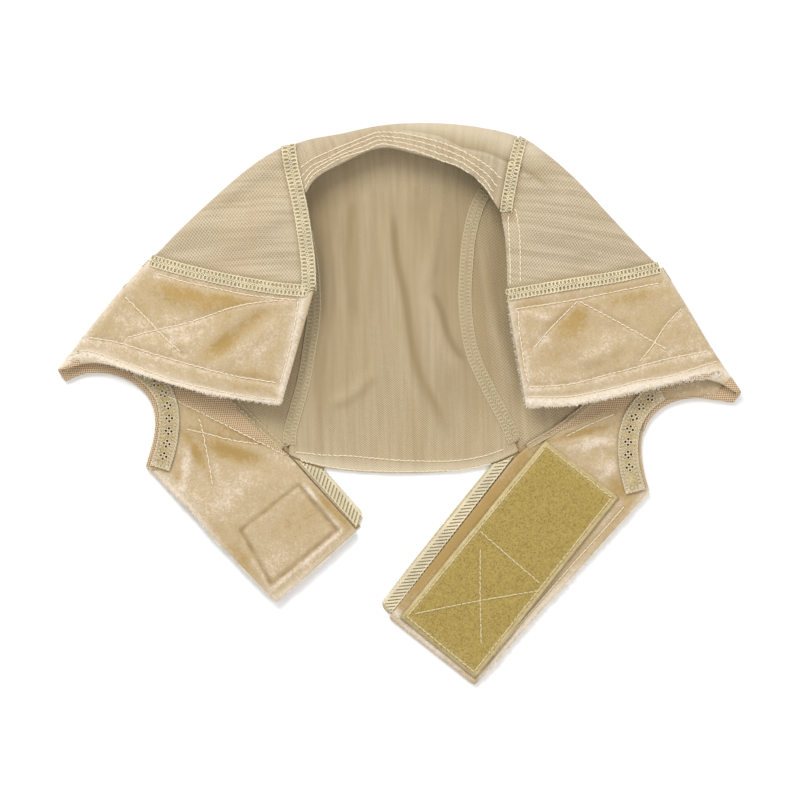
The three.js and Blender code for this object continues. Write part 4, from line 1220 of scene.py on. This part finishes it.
class CAP_OT_trims(bpy.types.Operator):
    """Makes the ear linings, the perforated elastic and the straps' lower edges"""

    bl_idname = "cap.trims"
    bl_label = "Linings And Elastic"

    def execute(self, context):
        for side in SIDES:
            made[f"lining_{side}"] = hand_in(ear_lining(f"lining_{side}", side), [f"ear_lining_{side}"])
            for name, node, finish, slot, levels in (
                (f"elastic_{side}", f"ear_elastic_{side}", "elastic", "elastic", 1),
                (f"edge_{side}", f"overlocked_edge_{side}", "edge_cloth", "edging", 2),
            ):
                bm = cage_of(node, 0.8)
                mesh = bpy.data.meshes.new(name)
                bm.to_mesh(mesh)
                bm.free()
                made[name] = hand_in(refined(link(name, mesh, finishes()[finish]), levels), [node])
            self.trim_elastic(side)
        return {"FINISHED"}

    def trim_elastic(self, side):
        """Works rings round the eyelets and small picots and a zigzag along the elastic's edges."""
        rims = self.rims(frame["nodes"][f"ear_elastic_{side}"].data)
        outer = max(rims, key=lambda rim: np.ptp(rim[:, 1]))
        drop = Drop([made[f"elastic_{side}"]])
        height = 0.16 * MM
        lines = []
        for hole in rims:
            if hole is outer:
                continue
            middle = hole.mean(axis=0)
            x, y = np.array([1.0, 0.0]), np.array([0.0, 1.0])
            hit, _ = drop.at(middle + x * 1.0 * MM)
            lines.append([Vector((*point, hit.z + height)) for point in ring(middle, x, y, 0.78 * MM, 0.78 * MM)])
        holes = np.array(sorted((hole.mean(axis=0) for hole in rims if hole is not outer), key=lambda hole: hole[1]))
        middle_line = np.array([holes[i:i + 6].mean(axis=0) for i in range(0, len(holes) - 5, 4)])
        under = Drop([made[f"velvet_{side}"]])
        ends = np.vstack([holes[:2].mean(axis=0), middle_line, holes[-2:].mean(axis=0)])
        # A dark tape under the elastic, a painted shadow that shows through its eyelets
        ribbon(f"elastic_eyelet_shadow_{side}", ends, 6 * MM, under, 0.05 * MM, 0.1 * MM, "eyelet_shadow", 2.7 * MM)
        turn = 1 if self.area(outer) > 0 else -1
        closed = np.vstack([outer, outer[:1]])
        for inset, size, pitch in ((0.75, 0.42, 1.35), (2.0, 0.36, 1.6)):
            path = spaced(closed, pitch * MM)
            inward = across(path) * turn
            for point, way in zip(path, inward):
                middle = point + way * inset * MM
                hit, _ = drop.at(middle)
                along = np.array([way[1], -way[0]])
                lines.append([Vector((*spot, hit.z + height)) for spot in ring(middle, along, way, size * MM, size * MM * 1.2, 6)])
        threads(f"elastic_picots_{side}", lines, 0.15 * MM, "velvet_thread", 0)
        path = spaced(closed, 0.8 * MM)
        inward = across(path) * turn
        zigzag = []
        for i, (point, way) in enumerate(zip(path, inward)):
            spot = point + way * (0.15 if i % 2 else 0.95) * MM
            zigzag.append(Vector((*spot, drop.at(spot)[0].z + 0.22 * MM)))
        threads(f"elastic_edge_{side}", [zigzag], 0.19 * MM, "velvet_thread", 0)

    def area(self, rim):
        x, y = rim[:, 0], rim[:, 1]
        return 0.5 * float(np.sum(x * np.roll(y, -1) - np.roll(x, -1) * y))

    def rims(self, mesh):
        """Plan outlines of a flat plate's top face: its border and its holes."""
        bm = bmesh.new()
        bm.from_mesh(mesh)
        bmesh.ops.remove_doubles(bm, verts=bm.verts, dist=0.01 * MM)
        top = {face for face in bm.faces if face.normal.z > 0.9}
        links = {}
        for edge in bm.edges:
            if sum(face in top for face in edge.link_faces) == 1:
                for vert, other in (edge.verts, reversed(edge.verts)):
                    links.setdefault(vert, []).append(other)
        rims, seen = [], set()
        for start in sorted(links, key=lambda vert: vert.index):
            if start in seen:
                continue
            rim, here = [], start
            while here is not None:
                seen.add(here)
                rim.append((here.co.x, here.co.y))
                here = next((other for other in links[here] if other not in seen), None)
            rims.append(np.array(rim))
        bm.free()
        return rims


class CAP_OT_pads(bpy.types.Operator):
    """Makes the loop pad and the hook pad of the nape fastening"""

    bl_idname = "cap.pads"
    bl_label = "Fastening Pads"

    curls = 6800
    hook_rows = (15, 12)

    def execute(self, context):
        for name, node, finish in (("loop_tape", "loop_pad", "loops"), ("hook_tape", "hook_pad", "hooks")):
            bm = cage_of(node, 0.0)
            bmesh.ops.subdivide_edges(bm, edges=bm.edges, cuts=34 if name == "loop_tape" else 8, use_grid_fill=True)
            mesh = bpy.data.meshes.new(name)
            bm.to_mesh(mesh)
            bm.free()
            piece = link(name, mesh, finishes()[finish])
            if name == "loop_tape":
                self.shape_loops(mesh)
            made[name] = hand_in(piece, [node])
        self.loop_pile()
        self.hook_field()
        return {"FINISHED"}

    def shape_loops(self, mesh):
        """Draws the pad out to its corners, then rounds its rim, domes it and presses the stitch rows in."""
        target = plan(LOOP_PAD)
        co = coordinates(mesh)
        base = co[co[:, 2] > co[:, 2].max() - 0.1 * MM][:, :2]
        corners = np.array([base[np.argmax(base @ way)] for way in ((0.1, 1), (1, 0.1), (-0.1, -1), (-1, -0.1))])
        u_way, v_way = corners[1] - corners[0], corners[3] - corners[0]
        rel = co[:, :2] - corners[0]
        u, v = rel @ u_way / (u_way @ u_way), rel @ v_way / (v_way @ v_way)
        low = target[0] * (1 - u)[:, None] + target[1] * u[:, None]
        high = target[3] * (1 - u)[:, None] + target[2] * u[:, None]
        co[:, :2] = low * (1 - v)[:, None] + high * v[:, None]
        rim = np.minimum(np.minimum(u, 1 - u) * 41 * MM, np.minimum(v, 1 - v) * 102 * MM)
        top = co[:, 2] > co[:, 2].min() + 1 * MM
        rows = [row for key, row in PAD_ROWS.items() if key != "border"] + [PAD_ROWS["border"][i:i + 2] for i in range(4)]
        shape = -0.5 * MM * (1 - ease(rim, 0, 1.4 * MM)) + dents(co[:, :2], rows, 0.3 * MM, 0.7 * MM)
        shape += 0.03 * MM * field(co, 3 * MM, 5, depth=3) + 0.2 * MM * field(co, 30 * MM, 9)
        co[:, 2] += top * shape
        put_back(mesh, co)
        store(mesh, "edge", (1 - ease(rim, 0.8 * MM, 3.6 * MM)) * (0.75 + 0.5 * field(co, 2 * MM, 21)))

    def loop_pile(self):
        draw = random.Random(7)
        corners = plan(LOOP_PAD)
        drop = Drop([made["loop_tape"]])
        lines = []
        for _ in range(self.curls):
            u, v = draw.uniform(0.03, 0.97), draw.uniform(0.012, 0.988)
            point = (corners[0] * (1 - u) + corners[1] * u) * (1 - v) + (corners[3] * (1 - u) + corners[2] * u) * v
            hit, _ = drop.at(point)
            turn = draw.uniform(0, 2 * math.pi)
            way = Vector((math.cos(turn), math.sin(turn), 0)) * draw.uniform(0.25, 0.5) * MM
            side = Vector((-way.y, way.x, 0)) * draw.uniform(-0.6, 0.6)
            rise = draw.uniform(0.08, 0.2) * MM
            lines.append([
                hit - way - Vector((0, 0, 0.1 * MM)), hit - way * 0.4 + side + Vector((0, 0, rise)),
                hit + way * 0.5 + side + Vector((0, 0, rise * 0.8)), hit + way - Vector((0, 0, 0.1 * MM)),
            ])
        threads("loop_pile", lines, 0.06 * MM, "loops", 0)

    def hook_field(self):
        """Rows of small hooks on the pad's underside, between it and the surface."""
        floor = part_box("hook_pad")[0][2]
        corners = plan([(240.4, 538.9), (297.7, 487.0), (340.4, 534.1), (283.2, 586.0)])
        lines = []
        for i in range(self.hook_rows[0]):
            for k in range(self.hook_rows[1]):
                u, v = (i + 0.5) / self.hook_rows[0], (k + 0.5) / self.hook_rows[1]
                point = (corners[0] * (1 - u) + corners[1] * u) * (1 - v) + (corners[3] * (1 - u) + corners[2] * u) * v
                way = 0.35 * MM if k % 2 else -0.35 * MM
                heights = (0.45 * MM, 0.2 * MM, 0.12 * MM, 0.22 * MM)
                steps = (0, 0.1, 0.7, 1.0)
                lines.append([Vector((point[0] + way * step, point[1], floor + height)) for step, height in zip(steps, heights)])
        threads("hook_field", lines, 0.1 * MM, "hooks", 0)


class CAP_OT_seams(bpy.types.Operator):
    """Sews the flatlock seams of the dome"""

    bl_idname = "cap.seams"
    bl_label = "Flatlock Seams"

    inside_start = 4.4 * MM

    def execute(self, context):
        drop = Drop([made[name] for name in ("mesh_centre", "mesh_left", "mesh_right", "velvet_left", "velvet_right")])
        for side in SIDES:
            for kind, table, start, lift, cloth, thread in (
                ("front", FRONT_SEAMS, 0.05, 0.3, "edging", "thread"), ("grip", GRIP_SEAMS, 0.05, 0.3, "edging", "thread"),
                ("back", BACK_SEAMS, self.inside_start, 0.15, "inside_tape", "mesh_thread"),
            ):
                path = smooth_path(plan(table[side]["line"]), 0.5 * MM)
                width = table[side]["width"] * MM
                ribbon(f"seam_tape_{kind}_{side}", path, width, drop, lift * MM, 0.25 * MM, cloth, start)
                lines = lace(path, width, drop, start, (lift - 0.12) * MM)
                threads(f"seam_{kind}_{side}", lines, sizes().seam_radius, thread, 0 if kind == "back" else 1)
            seam = BAND_SEAMS[side]
            path = smooth_path(plan(seam["line"]), 0.5 * MM)
            width = seam["width"] * MM
            start = self.inside_start
            ribbon(f"seam_tape_band_{side}", path, width, drop, 0.15 * MM, 0.25 * MM, "inside_tape", start)
            left = across(path)
            taped = Drop([bpy.data.objects[f"seam_tape_band_{side}"]])
            rows = [stitches(path + left * share * width, taped, start) for share in (-0.3, 0.3)]
            threads(f"seam_band_{side}", rows[0] + rows[1], sizes().stitch_radius, "mesh_thread")
        return {"FINISHED"}


class CAP_OT_stitching(bpy.types.Operator):
    """Sews the hems, the patches' quilting, the straps and the loop pad"""

    bl_idname = "cap.stitching"
    bl_label = "Stitching"

    def execute(self, context):
        drop = Drop([piece for name, piece in made.items() if not name.startswith("hook")])
        radius = sizes().stitch_radius
        lines = []
        for name, row in HEM_ROWS.items():
            path = smooth_path(plan(row), 0.5 * MM)
            if name == "front_edge":
                lines += stitches(path + across(path) * 0.9 * MM, drop)
            else:
                lines += stitches(path, drop)
        threads("hem_stitches", lines, radius, "velvet_thread")
        for side in SIDES:
            rows = [*PATCH_ROWS[side].values(), *STRAP_ROWS[side].values()]
            if side == "left":
                rows.append(LINING_EDGE[side])
            lines = [line for row in rows for line in stitches(smooth_path(plan(row), 0.5 * MM), drop)]
            threads(f"quilting_{side}", lines, radius, "velvet_thread")
        lines = []
        for name, row in PAD_ROWS.items():
            shaped = straight_path if name == "border" else smooth_path
            lines += stitches(shaped(plan(row), 0.5 * MM), drop)
        threads("pad_stitches", lines, radius * 1.15, "pad_thread")
        return {"FINISHED"}


class CAP_OT_overlock(bpy.types.Operator):
    """Wraps the straps' lower edges in overlock thread"""

    bl_idname = "cap.overlock"
    bl_label = "Overlocked Edges"

    # The line along the strap, the outer line, and the way that the threads run between them, in X and Y
    borders = {
        "left": ([(299, 461), (358, 528)], [(325, 470), (364, 514)], (0.3, 1)),
        "right": ([(513, 456), (391, 613)], [(492, 466), (382, 602)], (-1, -0.1)),
    }

    def execute(self, context):
        for side in SIDES:
            drop = Drop([made[f"edge_{side}"]])
            inner, outer, way = self.borders[side]
            inner, outer = plan(inner), plan(outer)
            way = np.array(way) / math.hypot(*way)
            length = float(np.linalg.norm(inner[1] - inner[0]))
            along = (inner[1] - inner[0]) / length
            lines = []
            for begin in np.arange(0.6 * MM, length, sizes().overlock_pitch):
                for twin in (-0.14, 0.14):
                    root = inner[0] + along * (begin + twin * sizes().overlock_pitch)
                    reach = self.reach(root, way, (inner[0], outer[0], outer[1], inner[1]))
                    if reach < 1.2 * MM:
                        continue
                    line = []
                    for share, rise in ((-0.05, 0.1), (0.06, 0.42), (0.35, 0.5), (0.65, 0.48), (0.9, 0.3), (1.0, -0.6)):
                        hit, _ = drop.at(root + way * reach * share)
                        line.append(Vector((*(root + way * reach * share), hit.z + rise * MM)))
                    lines.append(line)
            for share, lift in ((0.03, 0.45), (0.8, 0.35), (0.88, 0.3), (0.96, 0.15)):
                rail = []
                start, end = (inner[k] * (1 - share) + outer[k] * share for k in (0, 1))
                steps = round(float(np.linalg.norm(end - start)) / (0.9 * MM))
                for i in range(steps + 1):
                    point = start + (end - start) * i / steps + (outer[0] - inner[0]) * (0.02 if i % 2 else -0.02)
                    rail.append(drop.over(point)[0] + Vector((0, 0, lift * MM)))
                lines.append(rail)
            threads(f"overlock_{side}", lines, 0.27 * MM, "thread")
            for i, (line, width, height) in enumerate(self.creases[side]):
                self.crease(f"crease_{side}_{i}", plan(line), width * MM, height * MM)
        return {"FINISHED"}

    def reach(self, root, way, corners):
        """How far a thread runs before it meets the outer borders of the edge."""
        best = 20 * MM
        for a, b in zip(corners[:-1], corners[1:]):
            side = b - a
            cross = way[0] * side[1] - way[1] * side[0]
            if abs(cross) < 1e-12:
                continue
            rel = a - root
            t = (rel[0] * side[1] - rel[1] * side[0]) / cross
            u = (rel[0] * way[1] - rel[1] * way[0]) / cross
            if t > 0 and -0.01 <= u <= 1.01:
                best = min(best, t)
        return best

    # Strips of velvet in the creases, darkened with painted shade: lines, widths and heights in millimetres
    creases = {
        "left": (
            ([(287, 448), (298, 460), (358, 528)], 3, 0.9), ([(292, 455), (306, 462), (324, 469)], 2.4, 0.7),
            ([(291, 430), (287, 452)], 3.4, 0.7),
        ),
        "right": (
            ([(520, 448), (512, 457), (391, 613)], 3, 0.9), ([(516, 453), (504, 459), (491, 466)], 2.4, 0.7),
            ([(508, 424), (520, 449)], 3.4, 0.7), ([(517, 449), (536, 444)], 3.4, 1.0),
        ),
    }

    def crease(self, name, line, width, height):
        path = spaced(line, 2 * MM)
        left = across(path)
        bm = bmesh.new()
        grid = bmesh.ops.create_grid(bm, x_segments=4, y_segments=len(path) - 1, size=1)["verts"]
        for vert in grid:
            i = round((vert.co.y + 1) / 2 * (len(path) - 1))
            point = path[i] + left[i] * vert.co.x * width / 2
            vert.co = (point[0], point[1], height)
        bmesh.ops.recalc_face_normals(bm, faces=bm.faces)
        if sum(face.normal.z for face in bm.faces) < 0:
            bmesh.ops.reverse_faces(bm, faces=bm.faces)
        bmesh.ops.solidify(bm, geom=bm.faces, thickness=0.5 * MM)
        mesh = bpy.data.meshes.new(name)
        bm.to_mesh(mesh)
        bm.free()
        # Painted shade on the crease strips, which are slightly golden
        for attribute, value in (("pile", -0.1), ("edge", 0.0), ("shade", 0.25)):
            store(mesh, attribute, np.full(len(mesh.vertices), value))
        hand_in(link(name, mesh, finishes()["velvet"]))


class CAP_OT_fraying(bpy.types.Operator):
    """Adds the loose fibres along the velvet's cut edges"""

    bl_idname = "cap.fraying"
    bl_label = "Frayed Edges"

    # Lines along the edges, the side that the fibres stand out on, how many, and how far in they start
    edges = {
        "patch_left": ([(59, 364), (88, 354), (117, 365), (147, 375), (212, 394), (279, 404)], -1, 1500, 2.2),
        "patch_right": ([(523, 406), (569, 405), (614, 396), (669, 385), (722, 374)], -1, 1500, 2.6),
        "inner_left": ([(281, 402), (290, 366), (304, 312)], -1, 260, 0.8),
        "inner_right": ([(522, 401), (512, 352), (506, 300)], 1, 260, 0.8),
        "strap_left": ([(148, 466), (194, 513), (240, 572), (276, 600), (320, 566), (358, 533)], -1, 900, 1.0),
        "strap_right": ([(650, 492), (600, 552), (545, 604), (484, 676), (440, 648), (392, 612)], 1, 1000, 1.0),
    }

    def execute(self, context):
        drop = Drop([made["velvet_left"], made["velvet_right"]])
        draw = random.Random(11)
        lines = []
        for row, out, count, inset in self.edges.values():
            path = straight_path(plan(row), 1 * MM)
            lines += fluff(path, across(path) * out, drop, count, sizes().fibre, inset * MM, draw)
        threads("frayed_fibres", lines, 0.075 * MM, "fluff", 0)
        return {"FINISHED"}


class CAP_OT_flat_sizes(bpy.types.Operator):
    """Holds the flat size of each sheet of cloth, what it lies on and what is sewn to it, which its run leaves unused
    """

    bl_idname = "cap.flat_sizes"
    bl_label = "Flat Sizes"

    # Flat width, length and area of each sheet, what it lies on, and the names that its own pieces start with.
    # The sizes are those of one face of the solid's wall, unwrapped, and of the least rectangle around it. The
    # overlocked edges are 6.7 mm wide, and are given the least width that a sheet can have.
    sheets = {
        "mesh_centre": (
            (0.103, 0.195), 0.0143, (), ("hem_stitches", "seam_tape_front", "seam_front", "seam_tape_back", "seam_back"),
        ),
        "mesh_left": ((0.071, 0.176), 0.0085, (), ("seam_tape_grip_left", "seam_grip_left")),
        "mesh_right": ((0.086, 0.168), 0.0104, (), ("seam_tape_grip_right", "seam_grip_right")),
        "velvet_left": (
            (0.073, 0.237), 0.0108, ("hook_tape",),
            ("quilting_left", "crease_left", "frayed", "seam_tape_band_left", "seam_band_left"),
        ),
        "velvet_right": (
            (0.063, 0.266), 0.0126, (), ("quilting_right", "crease_right", "seam_tape_band_right", "seam_band_right"),
        ),
        "lining_left": ((0.061, 0.109), 0.00247, ("velvet_left",), ()),
        "lining_right": ((0.056, 0.087), 0.00194, ("velvet_right",), ()),
        "elastic_left": (
            (0.0174, 0.0511), 0.000433, ("velvet_left",),
            ("elastic_picots_left", "elastic_edge_left", "elastic_eyelet_shadow_left"),
        ),
        "elastic_right": (
            (0.017, 0.0512), 0.000435, ("velvet_right",),
            ("elastic_picots_right", "elastic_edge_right", "elastic_eyelet_shadow_right"),
        ),
        "edge_left": ((0.01, 0.0409), 0.000218, (), ("overlock_left",)),
        "edge_right": ((0.01, 0.0889), 0.000509, (), ("overlock_right",)),
        "loop_tape": ((0.04, 0.1), None, ("velvet_right",), ("loop_pile", "pad_stitches")),
        "hook_tape": ((0.028, 0.034), None, (), ("hook_field",)),
    }

    def execute(self, context):
        for name, (flat, area, rests_on, starts) in self.sheets.items():
            list(rests_on)
        return {"FINISHED"}


class CAP_PT_panel(bpy.types.Panel):
    """Lists the steps that dress the cap"""

    bl_label = "Wig Cap"
    bl_idname = "CAP_PT_panel"
    bl_space_type = "VIEW_3D"
    bl_region_type = "UI"
    bl_category = "Wig Cap"

    def draw(self, context):
        for group in (context.scene.cap_sizes, context.scene.cap_colours):
            for key in group.__annotations__:
                self.layout.prop(group, key)
        for step in STEPS:
            self.layout.operator(step.bl_idname)


STEPS = (
    CAP_OT_stage, CAP_OT_mesh_panels, CAP_OT_grip_bands, CAP_OT_trims, CAP_OT_pads, CAP_OT_seams, CAP_OT_stitching,
    CAP_OT_overlock, CAP_OT_fraying, CAP_OT_flat_sizes,
)
CLASSES = (CapSizes, CapColours, *STEPS, CAP_PT_panel)


def register():
    for cls in CLASSES:
        bpy.utils.register_class(cls)
    bpy.types.Scene.cap_sizes = PointerProperty(type=CapSizes)
    bpy.types.Scene.cap_colours = PointerProperty(type=CapColours)


def unregister():
    del bpy.types.Scene.cap_sizes
    del bpy.types.Scene.cap_colours
    for cls in reversed(CLASSES):
        bpy.utils.unregister_class(cls)


def main():
    register()
    for step in STEPS:
        group, name = step.bl_idname.split(".")
        getattr(getattr(bpy.ops, group), name)()


if __name__ == "__main__":
    main()
